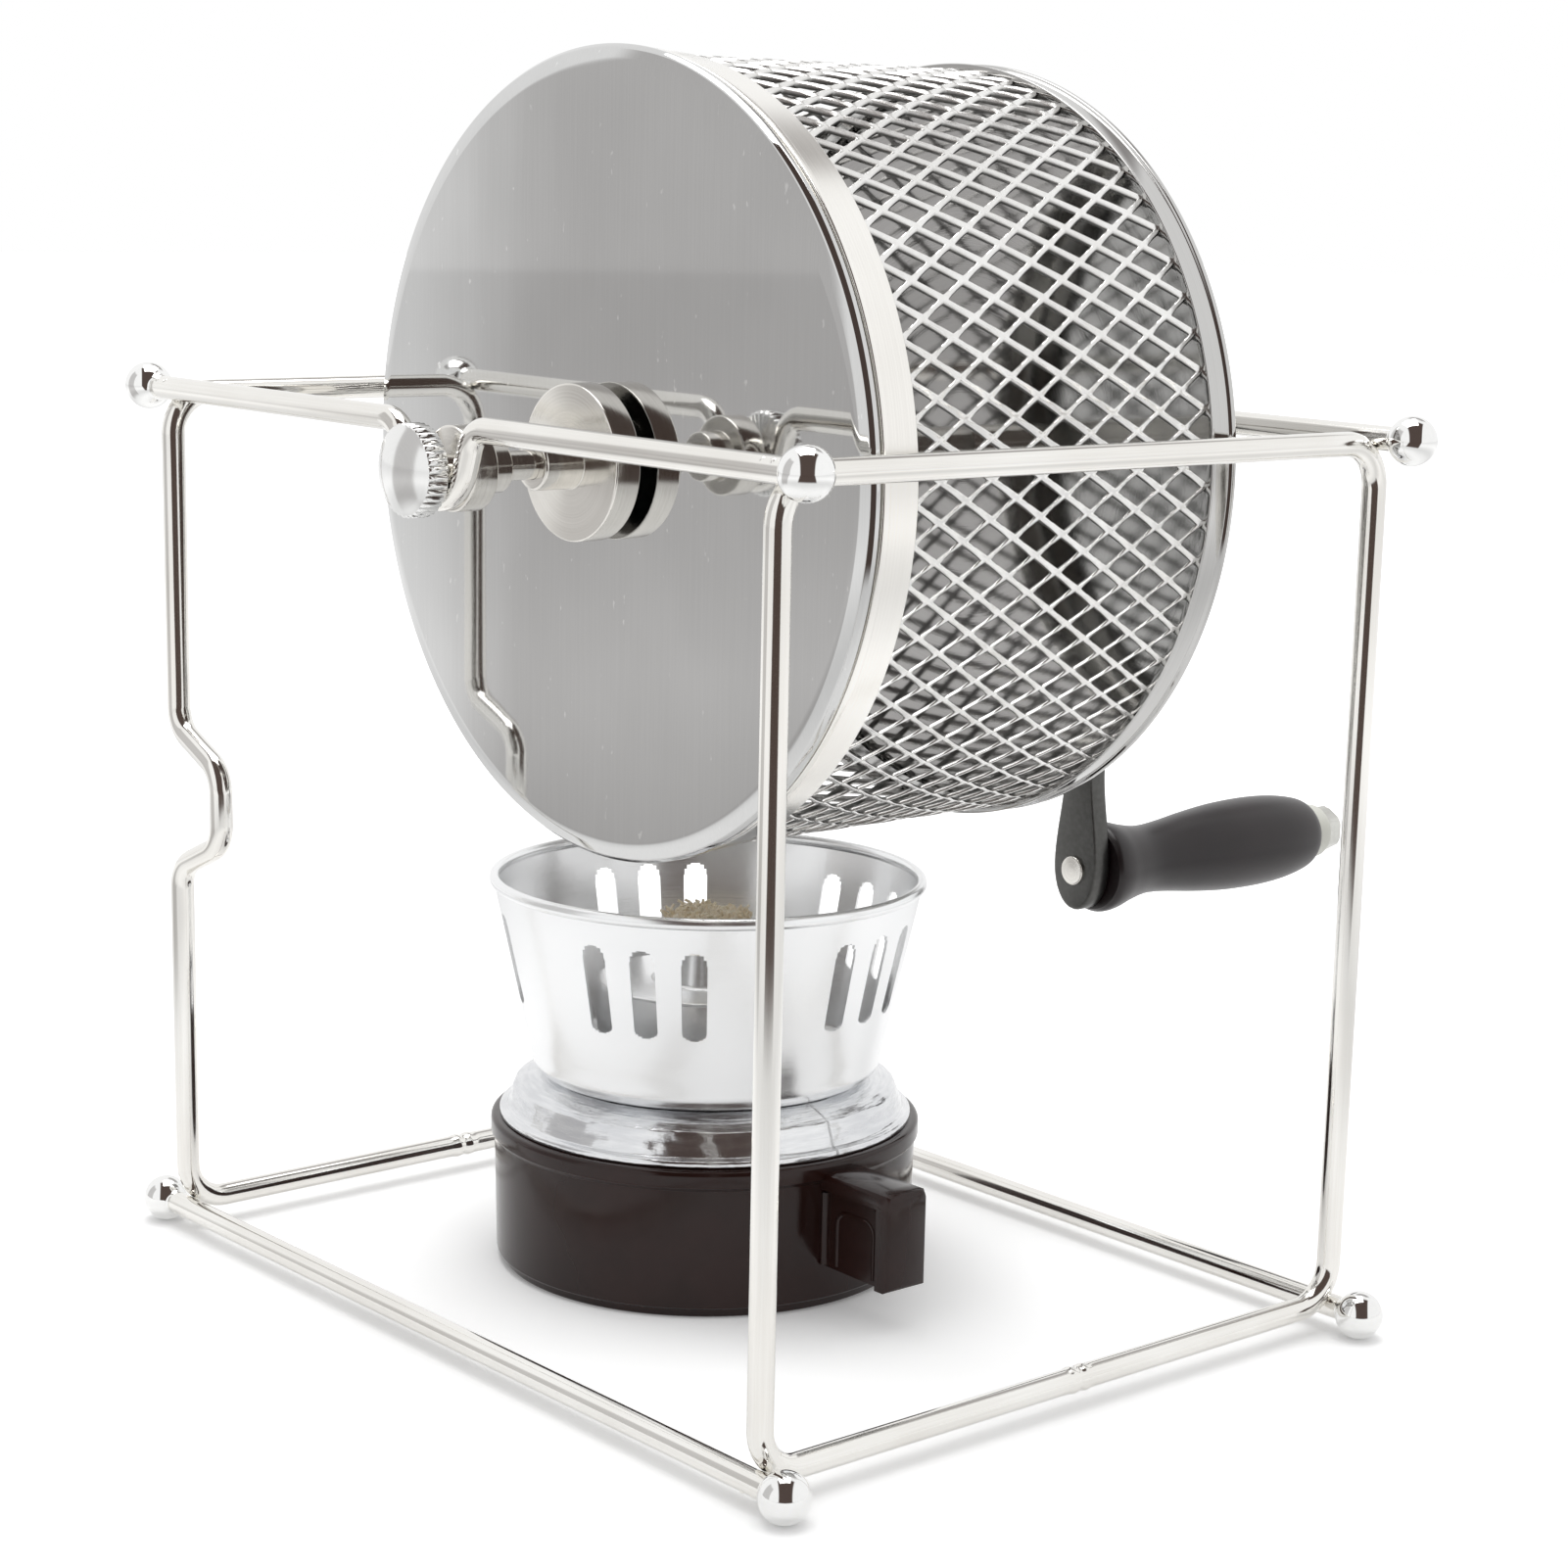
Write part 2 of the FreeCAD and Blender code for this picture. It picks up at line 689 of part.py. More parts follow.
def crank_arm():
    """The flat crank arm: an eye on the axle, a slim shank and a rounded pad."""
    eye = AXLE_Z
    pad = GRIP_Z
    shoulder = pad + ARM_PAD_SHOULDER
    waist = pad + ARM_WAIST_RISE
    half = ARM_WAIST_HALF

    def flank(side):
        points = [
            Vector(side * ARM_EYE_R, 0, eye),
            Vector(side * ARM_SHANK_HALF, 0, (eye + waist) / 2),
            Vector(side * half, 0, waist),
            Vector(side * ARM_PAD_HALF, 0, shoulder),
        ]
        curve = Part.BSplineCurve()
        start = Vector(0, 0, -1)
        curve.interpolate(points, InitialTangent=start, FinalTangent=start)
        return curve.toShape()

    top = Part.Arc(
        Vector(-ARM_EYE_R, 0, eye),
        Vector(0, 0, eye + ARM_EYE_R),
        Vector(ARM_EYE_R, 0, eye),
    ).toShape()
    quarter = math.sqrt(0.5)
    low = pad - ARM_PAD_DROP
    bottom_points = [
        Vector(ARM_PAD_HALF, 0, shoulder),
        Vector(ARM_PAD_HALF * quarter, 0, shoulder - (ARM_PAD_DROP + ARM_PAD_SHOULDER) * quarter),
        Vector(0, 0, low),
        Vector(-ARM_PAD_HALF * quarter, 0, shoulder - (ARM_PAD_DROP + ARM_PAD_SHOULDER) * quarter),
        Vector(-ARM_PAD_HALF, 0, shoulder),
    ]
    bottom = Part.BSplineCurve()
    bottom.interpolate(bottom_points, InitialTangent=Vector(0, 0, -1), FinalTangent=Vector(0, 0, 1))
    outline = Part.Wire(Part.__sortEdges__([top, flank(1), bottom.toShape(), flank(-1)]))
    arm = Part.Face(outline).extrude(Vector(0, ARM_T, 0))
    arm.translate(Vector(0, ARM_Y, 0))
    arm = arm.cut(rod(NECK_R + FIT, ARM_Y - CUT_PAST, ARM_BACK_Y + CUT_PAST, AXLE_LINE))
    return arm.cut(rod(BOLT_R + FIT, ARM_Y - CUT_PAST, ARM_BACK_Y + CUT_PAST, GRIP_LINE))


def crank_nut():
    """The hex nut that holds the arm on the axle."""
    end = ARM_BACK_Y + CRANK_NUT_W
    nut = hexagon_bar(CRANK_NUT_AF, ARM_BACK_Y, end, AXLE_LINE)
    return nut.cut(rod(NECK_R + FIT, ARM_BACK_Y - CUT_PAST, end + CUT_PAST, AXLE_LINE))


def grip_bolt():
    """The grip's spindle, riveted over at the front of the arm."""
    end = GRIP_END_Y + GRIP_CLEARANCE + WASHER_W + END_NUT_W - THREAD_SHY
    head_y = ARM_Y - BOLT_HEAD_W
    return turned(
        [
            (0, head_y),
            (BOLT_HEAD_R - BOLT_HEAD_EDGE, head_y),
            (BOLT_HEAD_R, head_y + BOLT_HEAD_EDGE),
            (BOLT_HEAD_R, ARM_Y),
            (BOLT_R, ARM_Y),
            (BOLT_R, end - CHAMFER),
            (BOLT_R - CHAMFER, end),
            (0, end),
        ],
        GRIP_LINE,
        Y_AXIS,
    )


def grip():
    """The turned grip: a flange at the arm, a neck, a belly and a rounded end."""
    bore = BOLT_R + RUNNING_FIT
    outline = [(bore, GRIP_Y)]
    for radius, station in GRIP_STATIONS:
        outline.append((radius * GRIP_R, GRIP_Y + station * GRIP_LENGTH))
    outline.append((bore, GRIP_END_Y))
    return turned(outline, GRIP_LINE, Y_AXIS)


def end_washer():
    """The nylon washer between the grip and its nut."""
    start = GRIP_END_Y + GRIP_CLEARANCE
    end = start + WASHER_W
    return turned(
        [
            (BOLT_R + FIT, start),
            (WASHER_R, start),
            (WASHER_R, end - WASHER_EDGE),
            (WASHER_R - WASHER_EDGE, end),
            (BOLT_R + FIT, end),
        ],
        GRIP_LINE,
        Y_AXIS,
    )


def end_nut():
    """The hex nut on the end of the grip's bolt."""
    start = GRIP_END_Y + GRIP_CLEARANCE + WASHER_W
    end = start + END_NUT_W
    nut = hexagon_bar(END_NUT_AF, start, end, GRIP_LINE)
    return nut.cut(rod(BOLT_R + FIT, start - CUT_PAST, end + CUT_PAST, GRIP_LINE))


def tab_handle():
    """The base's tab handle: a plate with a thicker bar along its top and outer edge."""
    root = BASE_R - BASE_WALL / 2
    reach = TAB_REACH - root
    height = TAB_TOP - TAB_BOTTOM
    plate = Part.makeBox(reach, 2 * TAB_HALF, height, Vector(root, -TAB_HALF, TAB_BOTTOM))
    outer_edges = [e for e in plate.Edges if all(abs(v.X - TAB_REACH) < 0.01 for v in e.Vertexes)]
    plate = plate.makeChamfer(TAB_EDGE, outer_edges)
    pocket_length = reach - TAB_BAR
    for side in (-1, 1):
        corner_y = TAB_HALF - TAB_RECESS if side > 0 else -TAB_HALF - CUT_PAST
        corner = Vector(root - CUT_PAST, corner_y, TAB_BOTTOM - CUT_PAST)
        long = pocket_length + CUT_PAST
        tall = height - TAB_BAR + CUT_PAST
        plate = plate.cut(Part.makeBox(long, TAB_RECESS + CUT_PAST, tall, corner))
    plate.translate(BURNER_LINE)
    return plate


def burner_base():
    """The moulded plastic pot with a lip and the tab handle."""
    inner = BASE_R - BASE_WALL
    lip_top = BASE_H + BASE_LIP_H
    ledge = SPUN_BEAD_R - BASE_LEDGE
    groove_z = BASE_H - BASE_GROOVE
    pot = turned(
        [
            (0, 0),
            (BASE_R - BASE_EDGE_R, 0),
            (BASE_R, BASE_EDGE_R),
            (BASE_TOP_R, groove_z),
            (BASE_LIP_R, LIP_Z),
            (BASE_LIP_R, lip_top - BASE_LIP_EDGE),
            (BASE_LIP_R - BASE_LIP_EDGE, lip_top),
            (ledge, lip_top),
            (inner, lip_top - BASE_LIP_H),
            (inner, BASE_WALL),
            (0, BASE_WALL),
        ],
        BURNER_LINE,
        Z_AXIS,
    )
    hollow = upright_rod(inner, BASE_WALL, lip_top, BURNER_LINE)
    return pot.fuse(tab_handle().cut(hollow)).removeSplitter()


def burner_collar():
    """The spun aluminium collar: a bead on the base's lip, a shoulder, and a flat neck round the cup."""
    bead = SPUN_BEAD_R - SPUN_BEAD_W
    slope_z = SPUN_Z + SPUN_SHOULDER_AT * SPUN_RISE
    shoulder_z = slope_z + SPUN_BEAD_H
    bore = CUP_R + FIT
    outer = [
        (bead, SPUN_Z),
        (SPUN_BEAD_R, SPUN_Z),
        (SPUN_BEAD_R, SPUN_Z + SPUN_BEAD_H),
        (SPUN_BEAD_R - SPUN, SPUN_Z + SPUN_BEAD_H + SPUN),
        (SPUN_SLOPE_R, slope_z),
        (SPUN_SHOULDER_R, shoulder_z),
        (SPUN_NECK_R, NECK_Z),
        (bore, NECK_Z),
    ]
    inner = [
        (bore, NECK_Z - SPUN),
        (SPUN_NECK_R, NECK_Z - SPUN),
        (SPUN_SHOULDER_R, shoulder_z - SPUN),
        (SPUN_SLOPE_R - SPUN / 2, slope_z - SPUN),
        (bead, SPUN_Z + SPUN_BEAD_H),
    ]
    return turned(outer + inner, BURNER_LINE, Z_AXIS)


def fuel_cup():
    """The deep drawn cup for the fuel, pressed into the collar's neck."""
    floor = BASE_WALL + CUP_FLOOR_GAP
    return turned(
        [
            (0, floor),
            (CUP_R, floor),
            (CUP_R, CUP_TOP),
            (CUP_R - SPUN, CUP_TOP),
            (CUP_R - SPUN, floor + SPUN),
            (0, floor + SPUN),
        ],
        BURNER_LINE,
        Z_AXIS,
    )


def wick_holder():
    """The cup's cover with the tube that holds the wick."""
    cover = CUP_TOP
    bore = WICK_R + FIT
    return turned(
        [
            (bore, cover - HOLDER_H),
            (HOLDER_R, cover - HOLDER_H),
            (HOLDER_R, cover),
            (CUP_R, cover),
            (CUP_R, cover + SPUN),
            (HOLDER_R + HOLDER_FILLET, cover + SPUN),
            (HOLDER_R, cover + SPUN + HOLDER_FILLET),
            (HOLDER_R, cover + HOLDER_H),
            (bore, cover + HOLDER_H),
        ],
        BURNER_LINE,
        Z_AXIS,
    )


def wick():
    """The thick fibrous wick, from the cup's floor up to the flame."""
    low = BASE_WALL + SPUN + 2 * CUP_FLOOR_GAP
    return turned(
        [
            (0, low),
            (WICK_R, low),
            (WICK_R, WICK_TOP - WICK_CROWN_H),
            (WICK_R - WICK_CROWN_W, WICK_TOP),
            (0, WICK_TOP),
        ],
        BURNER_LINE,
        Z_AXIS,
    )


def screen_slot(angle):
    """One upright slot with round ends, as a cutter that points outwards."""
    half = SLOT_W / 2
    inner = SCREEN_FOOT_R - 2 * SCREEN_FOOT_BEND
    outer = SCREEN_TOP_R + 2 * SCREEN_ROLL_R
    corners = []
    for end, sign in ((SLOT_BOTTOM + half, -1), (SLOT_TOP - half, 1)):
        for i in range(SLOT_END_FACES + 1):
            turn = math.pi * i / SLOT_END_FACES
            across = -sign * half * math.cos(turn)
            corners.append(Vector(inner, across, end + sign * half * math.sin(turn)))
    slot = Part.Face(Part.makePolygon(corners + [corners[0]])).extrude(X_AXIS * (outer - inner))
    slot.rotate(Vector(0, 0, 0), Z_AXIS, angle)
    slot.translate(BURNER_LINE)
    return slot


def windscreen():
    """The slotted aluminium windscreen: a tapered bowl with a rolled rim and a round foot."""
    bend = SCREEN_FOOT_R - SCREEN_FOOT_BEND
    wall_foot = SCREEN_Z + SCREEN_FOOT_BEND
    floor_z = SCREEN_Z + SCREEN_T
    roll_r = SCREEN_TOP_R - SCREEN_T / 2
    roll_z = SCREEN_TOP - SCREEN_ROLL_R
    outer = quarter_round(bend, SCREEN_Z, SCREEN_FOOT_R, wall_foot, FOOT_FACES)
    inner = quarter_round(bend, floor_z, SCREEN_FOOT_R - SCREEN_T, wall_foot, FOOT_FACES)
    seam = math.asin(SCREEN_T / 2 / SCREEN_ROLL_R)
    roll = []
    for i in range(ROLL_FACES + 1):
        turn = seam - math.pi / 2 + (math.tau - 2 * seam) * i / ROLL_FACES
        roll.append((roll_r + SCREEN_ROLL_R * math.cos(turn), roll_z + SCREEN_ROLL_R * math.sin(turn)))
    outline = [(SCREEN_HOLE_R, SCREEN_Z)] + outer + roll + inner[::-1] + [(SCREEN_HOLE_R, floor_z)]
    bowl = turned(outline, BURNER_LINE, Z_AXIS)
    slots = []
    for group in range(SLOT_GROUPS):
        middle = SLOT_FIRST_ANGLE + 360 / SLOT_GROUPS * group
        for i in range(SLOTS_IN_GROUP):
            offset = SLOT_STEP * (i - (SLOTS_IN_GROUP - 1) / 2)
            slots.append(screen_slot(middle + offset))
    return bowl.cut(slots)


def main():
    os.makedirs("parts", exist_ok=True)
    sleeve_length = ARM_Y - CRANK_COLLAR_Y - COLLAR_W
    pieces = {
        "left_loop": side_loop(-LOOP_X, True),
        "right_loop": side_loop(LOOP_X, False),
        "top_front_rail": saddle_rail(-RAIL_Y),
        "top_rear_rail": saddle_rail(RAIL_Y),
        "bottom_front_rail": straight_rail(-RAIL_Y, LOW_Z),
        "bottom_rear_rail": straight_rail(RAIL_Y, LOW_Z),
        "ball_feet": ball_ends(LOW_Z),
        "ball_ends": ball_ends(HIGH_Z),
        "axle": axle(),
        "front_collar": stepped_collar(NECK_R + FIT, COLLAR_Y, STEP_W, 1),
        "rear_collar": rear_collar(),
        "crank_collar": stepped_collar(NECK_R + FIT, CRANK_COLLAR_Y, sleeve_length, 1),
        "clamp_nut": clamp_nut(),
        "thumb_nut": thumb_nut(),
        "lid": lid(),
        "front_band": front_band(),
        "drum_mesh": drum_mesh(),
        "rear_plate": rear_plate(),
        "rear_hub": rear_hub(),
        "crank_arm": crank_arm(),
        "crank_nut": crank_nut(),
        "grip_bolt": grip_bolt(),
        "grip": grip(),
        "end_washer": end_washer(),
        "end_nut": end_nut(),
        "burner_base": burner_base(),
        "burner_collar": burner_collar(),
        "fuel_cup": fuel_cup(),
        "wick_holder": wick_holder(),
        "wick": wick(),
        "windscreen": windscreen(),
    }
    for name, shape in pieces.items():
        save(name, shape)
        print(name, "valid", shape.isValid(), "solids", len(shape.Solids), "volume", round(shape.Volume, 1))


main()
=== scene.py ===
"""Looks of a hand cranked coffee roaster with its spirit burner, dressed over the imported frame."""

import logging
import math
import random
from collections.abc import Callable, Sequence
from dataclasses import dataclass, field
from enum import Enum

import bmesh
import bpy
import numpy as np
from mathutils import Matrix, Vector, noise

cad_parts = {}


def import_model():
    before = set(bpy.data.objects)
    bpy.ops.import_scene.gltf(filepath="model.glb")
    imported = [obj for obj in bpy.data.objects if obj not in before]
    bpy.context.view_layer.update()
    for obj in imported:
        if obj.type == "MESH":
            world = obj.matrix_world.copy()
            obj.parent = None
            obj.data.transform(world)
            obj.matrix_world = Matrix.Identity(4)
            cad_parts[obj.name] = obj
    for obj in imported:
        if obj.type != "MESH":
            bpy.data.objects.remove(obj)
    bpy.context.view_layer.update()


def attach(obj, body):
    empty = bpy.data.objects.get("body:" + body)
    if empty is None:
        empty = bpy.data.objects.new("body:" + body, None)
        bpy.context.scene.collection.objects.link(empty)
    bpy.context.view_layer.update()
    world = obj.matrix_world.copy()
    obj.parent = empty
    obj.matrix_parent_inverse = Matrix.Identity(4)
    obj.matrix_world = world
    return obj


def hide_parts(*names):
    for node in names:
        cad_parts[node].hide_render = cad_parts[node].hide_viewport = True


LOG = logging.getLogger("roaster")
MM = 0.001
# Play between two pieces that fit into each other, in millimetres.
FIT = 0.02
Corner = tuple[float, float, float]
Colour = tuple[float, float, float]
BLACK: Colour = (0.0, 0.0, 0.0)
WHITE: Colour = (1.0, 1.0, 1.0)


class Axis(Enum):
    """The line that a turned piece is turned about."""

    X = "x"
    Y = "y"
    Z = "z"


class Grain(Enum):
    """How a metal surface was worked, which sets the direction of its fine marks."""

    DRAWN = "along the wire"
    ROLLED = "along the sheet"
    TURNED = "round the axis"
    CREASED = "in shallow folds round the axis"
    PLAIN = "none"


class Signal:
    """A number on its way through a shader; arithmetic on it adds Math nodes."""

    def __init__(self, bench: "Bench", socket: bpy.types.NodeSocket) -> None:
        """Wrap a socket."""
        self.bench = bench
        self.socket = socket

    def _math(self, operation: str, first: object, second: object) -> "Signal":
        """Add one Math node."""
        node = self.bench.node("ShaderNodeMath", {"operation": operation}, {0: first, 1: second})
        return Signal(self.bench, node.outputs[0])

    def __add__(self, other: object) -> "Signal":
        """Return self + other."""
        return self._math("ADD", self, other)

    __radd__ = __add__

    def __sub__(self, other: object) -> "Signal":
        """Return self - other."""
        return self._math("SUBTRACT", self, other)

    def __rsub__(self, other: object) -> "Signal":
        """Return other - self."""
        return self._math("SUBTRACT", other, self)

    def __mul__(self, other: object) -> "Signal":
        """Return self * other."""
        return self._math("MULTIPLY", self, other)

    __rmul__ = __mul__

    def __pow__(self, other: object) -> "Signal":
        """Return self ** other."""
        return self._math("POWER", self, other)

    def step(self, low: float, high: float) -> "Signal":
        """Rise smoothly from 0 at low to 1 at high.

        Args:
            low: Where the rise starts.
            high: Where it ends.

        Returns:
            The eased value.
        """
        node = self.bench.node(
            "ShaderNodeMapRange",
            {"interpolation_type": "SMOOTHSTEP"},
            {"Value": self, "From Min": low, "From Max": high},
        )
        return Signal(self.bench, node.outputs[0])


class Bench:
    """One material, or the world, while its nodes are being put together."""

    def __init__(self, tree: bpy.types.NodeTree) -> None:
        """Start with an empty node tree."""
        self.tree = tree
        tree.nodes.clear()

    def node(
        self, kind: str, settings: dict[str, object] | None = None, inputs: dict | None = None
    ) -> bpy.types.Node:
        """Add a node.

        Args:
            kind: The node's type.
            settings: Its own options, set before its sockets.
            inputs: Values, signals or sockets by socket name or number.

        Returns:
            The new node.
        """
        node = self.tree.nodes.new(kind)
        for key, value in (settings or {}).items():
            setattr(node, key, value)
        for key, value in (inputs or {}).items():
            self.join(value, node.inputs[key])
        return node

    def join(self, value: object, socket: bpy.types.NodeSocket) -> None:
        """Set a socket's value, or link it.

        Args:
            value: A signal, a socket, a number or a colour.
            socket: The input socket.
        """
        if isinstance(value, Signal):
            value = value.socket
        if isinstance(value, bpy.types.NodeSocket):
            self.tree.links.new(value, socket)
        elif socket.type == "RGBA" and len(value) == 3:
            socket.default_value = (*value, 1.0)
        else:
            socket.default_value = value

    def place(self, stretch: Corner = (1.0, 1.0, 1.0), lay: bool = False) -> bpy.types.NodeSocket:
        """Give the place on the piece in millimetres, stretched for a pattern.

        Args:
            stretch: Factor along each direction.
            lay: Whether to use the surface's own directions instead of X, Y and Z.

        Returns:
            The vector socket.
        """
        if lay:
            source = self.node("ShaderNodeAttribute", {"attribute_name": "lay"}).outputs["Vector"]
            factor = stretch
        else:
            source = self.node("ShaderNodeTexCoord").outputs["Object"]
            factor = tuple(f / MM for f in stretch)
        scaled = self.node("ShaderNodeVectorMath", {"operation": "MULTIPLY"}, {0: source, 1: factor})
        return scaled.outputs[0]

    def noise(self, where: bpy.types.NodeSocket, scale: float, detail: float = 3.0) -> Signal:
        """Add a noise pattern."""
        node = self.node("ShaderNodeTexNoise", {}, {"Vector": where, "Scale": scale, "Detail": detail})
        return Signal(self, node.outputs[0])

    def blend(self, factor: Signal, low: object, high: object) -> bpy.types.NodeSocket:
        """Mix two colours."""
        node = self.node("ShaderNodeMix", {"data_type": "RGBA"}, {0: factor, 6: low, 7: high})
        return node.outputs[2]

    def bump(self, height: Signal, depth: float) -> bpy.types.NodeSocket:
        """Turn a height, 0 to 1, into a normal; depth is what 1 stands for, in millimetres."""
        inputs = {"Strength": 1.0, "Distance": depth * MM, "Height": height}
        return self.node("ShaderNodeBump", {}, inputs).outputs[0]

    def rays(self) -> tuple[Signal, Signal]:
        """Tell the rays that ask apart.

        Returns:
            1 for rays from the camera, and 1 for glossy or transmission rays.
        """
        path = self.node("ShaderNodeLightPath").outputs
        eye = Signal(self, path["Is Camera Ray"])
        return eye, Signal(self, path["Is Glossy Ray"]) + Signal(self, path["Is Transmission Ray"])

    def surface(self, shader: bpy.types.Node) -> None:
        """Show a shader as the material's surface."""
        self.node("ShaderNodeOutputMaterial", {}, {"Surface": shader.outputs[0]})


@dataclass(frozen=True)
class Finish:
    """What every finish has: the name of its material, its slot and the two colours it wanders between."""

    name: str
    slot: str
    colour: Colour
    shade: Colour

    def sockets(self, bench: Bench) -> dict[str, object]:
        """Give what goes into the shader's sockets; each kind of finish has its own."""
        raise NotImplementedError

    def material(self) -> bpy.types.Material:
        """Build the material, or find it if it is there.

        Returns:
            The material.
        """
        made = bpy.data.materials.get(self.name)
        if not made:
            made = bpy.data.materials.new(self.name)
            made.use_nodes = True
            bench = Bench(made.node_tree)
            bench.surface(bench.node("ShaderNodeBsdfPrincipled", {}, self.sockets(bench)))
        return made


# Stretch of the pattern, whether it follows the surface, its scale and its octaves.
MARKS: dict[Grain, tuple[Corner, bool, float, float]] = {
    Grain.DRAWN: ((2.4, 0.05, 1.0), True, 1.0, 4.0),
    Grain.ROLLED: ((3.0, 3.0, 0.04), False, 1.0, 4.0),
    Grain.TURNED: ((0.01, 2.6, 2.6), True, 1.0, 4.0),
    Grain.CREASED: ((0.55, 0.85, 0.85), True, 1.0, 3.0),
    Grain.PLAIN: ((1.0, 1.0, 1.0), False, 0.8, 5.0),
}
CLOUD_SCALE = 0.03
MOTTLE_SCALE = 0.36
INSIDE_ROUGHER = 0.12
NICK_ROUGHER = 0.08


@dataclass(frozen=True)
class Metal(Finish):
    """A bare metal finish with the marks of how it was worked, and optionally painted shade on the inner
    side of a piece.
    """

    roughness: float
    spread: float = 0.06
    grain: Grain = Grain.PLAIN
    depth: float = 0.01
    cloud: float = 0.02
    # Radii where a piece's inner side turns to its outer side, and how far the inner side is darkened:
    # painted shade.
    inside: tuple[float, float] | None = None
    painted_inner_shade: float = 0.34
    wave: float = 0.0
    nicks: float = 0.0
    nick_colour: Colour = (0.97, 0.97, 0.96)

    def _marks(self, bench: Bench) -> Signal:
        """Give the pattern of the working marks, about 0 to 1."""
        stretch, lay, scale, detail = MARKS[self.grain]
        return bench.noise(bench.place(stretch, lay), scale, detail)

    def sockets(self, bench: Bench) -> dict[str, object]:
        """Work out the metal's colour, roughness and height.

        Args:
            bench: The material.

        Returns:
            The values of the shader's sockets.
        """
        marks = self._marks(bench)
        clouds = bench.noise(bench.place(), CLOUD_SCALE, 2.0)
        mottle = bench.noise(bench.place(), MOTTLE_SCALE, 4.0)
        tint = clouds.step(0.35, 0.7) * 0.6 + marks.step(0.3, 0.75) * 0.4
        smoothest = self.roughness - 0.5 * (self.spread + self.cloud)
        rough = marks * self.spread + mottle * self.cloud + smoothest
        colour = bench.blend(tint, self.shade, self.colour)
        # The inner face and cut sides are darkened: painted shade of the drum's inside. They are also made
        # rougher.
        if self.inside:
            lay = bench.node("ShaderNodeSeparateXYZ", {}, {0: bench.place(lay=True)})
            outer = Signal(bench, lay.outputs[2]).step(*self.inside)
            colour = bench.blend(outer, tuple(c * self.painted_inner_shade for c in self.shade), colour)
            rough = rough + (1.0 - outer) * INSIDE_ROUGHER
        if self.nicks:
            specks = bench.noise(bench.place((0.55, 0.55, 0.28)), 1.0, 2.0).step(0.715, 0.78)
            colour = bench.blend(specks * self.nicks, colour, self.nick_colour)
            rough = rough + specks * NICK_ROUGHER
        height = marks + mottle * 0.3
        if self.wave:
            swell = bench.noise(bench.place((0.05, 0.05, 0.006)), 1.0, 1.0)
            height = height + swell * (self.wave / self.depth)
        normal = bench.bump(height, self.depth)
        return {"Base Color": colour, "Roughness": rough, "Metallic": 1.0, "Normal": normal}


@dataclass(frozen=True)
class Moulded(Finish):
    """A plastic or nylon finish."""

    roughness: float
    depth: float = 0.02
    scale: float = 1.5
    specular: float = 0.5

    def sockets(self, bench: Bench) -> dict[str, object]:
        """Work out the moulded skin's colour, roughness and height.

        Args:
            bench: The material.

        Returns:
            The values of the shader's sockets.
        """
        skin = bench.noise(bench.place(), self.scale, 4.0)
        clouds = bench.noise(bench.place(), 0.06, 2.0)
        return {
            "Base Color": bench.blend(clouds.step(0.3, 0.7), self.shade, self.colour),
            "Roughness": skin * 0.08 + clouds * 0.06 + (self.roughness - 0.07),
            "Specular IOR Level": self.specular,
            "Normal": bench.bump(skin, self.depth),
        }


@dataclass(frozen=True)
class Fibre(Finish):
    """The frayed fibre of the wick."""

    def sockets(self, bench: Bench) -> dict[str, object]:
        """Work out the fibre's colour and height.

        Args:
            bench: The material.

        Returns:
            The values of the shader's sockets.
        """
        strands = bench.noise(bench.place((3.0, 3.0, 0.5)), 1.2, 4.0)
        clouds = bench.noise(bench.place(), 0.3, 2.0)
        tint = (strands * 0.5 + clouds * 0.5).step(0.3, 0.65)
        return {
            "Base Color": bench.blend(tint, self.shade, self.colour),
            "Roughness": 0.85,
            "Sheen Weight": 0.4,
            "Normal": bench.bump(strands, 0.2),
        }


WIRE = Metal(
    "drawn_wire", "polished_wire", (0.92, 0.91, 0.88), (0.82, 0.80, 0.76),
    0.10, 0.06, Grain.DRAWN, 0.003,
)
BALL = Metal(
    "mirror_chrome", "ball_chrome", (0.93, 0.93, 0.92), (0.87, 0.87, 0.86),
    0.04, 0.02, Grain.PLAIN, 0.001,
)
SHEET = Metal(
    "lid_sheet", "brushed_sheet", (0.67, 0.67, 0.665), (0.62, 0.62, 0.615),
    0.036, 0.016, Grain.ROLLED, 0.0005, 0.008, wave=0.04, nicks=0.5,
)
REAR = Metal(
    "rear_sheet", "brushed_sheet", (0.60, 0.595, 0.585), (0.52, 0.515, 0.505),
    0.05, 0.03, Grain.TURNED, 0.002, 0.01,
)
BAND = Metal(
    "band_sheet", "brushed_sheet", (0.96, 0.945, 0.91), (0.86, 0.84, 0.80),
    0.17, 0.08, Grain.TURNED, 0.005,
)
# The strands' inner face and cut sides are darker, which is painted shade, and rougher.
MESH = Metal(
    "cut_mesh", "expanded_metal", (0.92, 0.915, 0.90), (0.80, 0.79, 0.77),
    0.24, 0.06, Grain.PLAIN, 0.02, inside=(78.25, 78.85),
)
TURNED = Metal(
    "lathe_steel", "turned_steel", (0.87, 0.85, 0.81), (0.68, 0.66, 0.62),
    0.15, 0.08, Grain.TURNED, 0.007,
)
ARM_STEEL = Metal(
    "worn_steel", "dark_steel", (0.14, 0.139, 0.134), (0.09, 0.089, 0.085),
    0.38, 0.12, Grain.PLAIN, 0.05,
)
ZINC = Metal(
    "plated_steel", "zinc_steel", (0.76, 0.76, 0.73), (0.64, 0.64, 0.60),
    0.30, 0.10, Grain.PLAIN, 0.02,
)
SPUN = Metal(
    "spun_sheet", "spun_aluminium", (0.94, 0.945, 0.95), (0.88, 0.885, 0.89),
    0.24, 0.10, Grain.TURNED, 0.008,
)
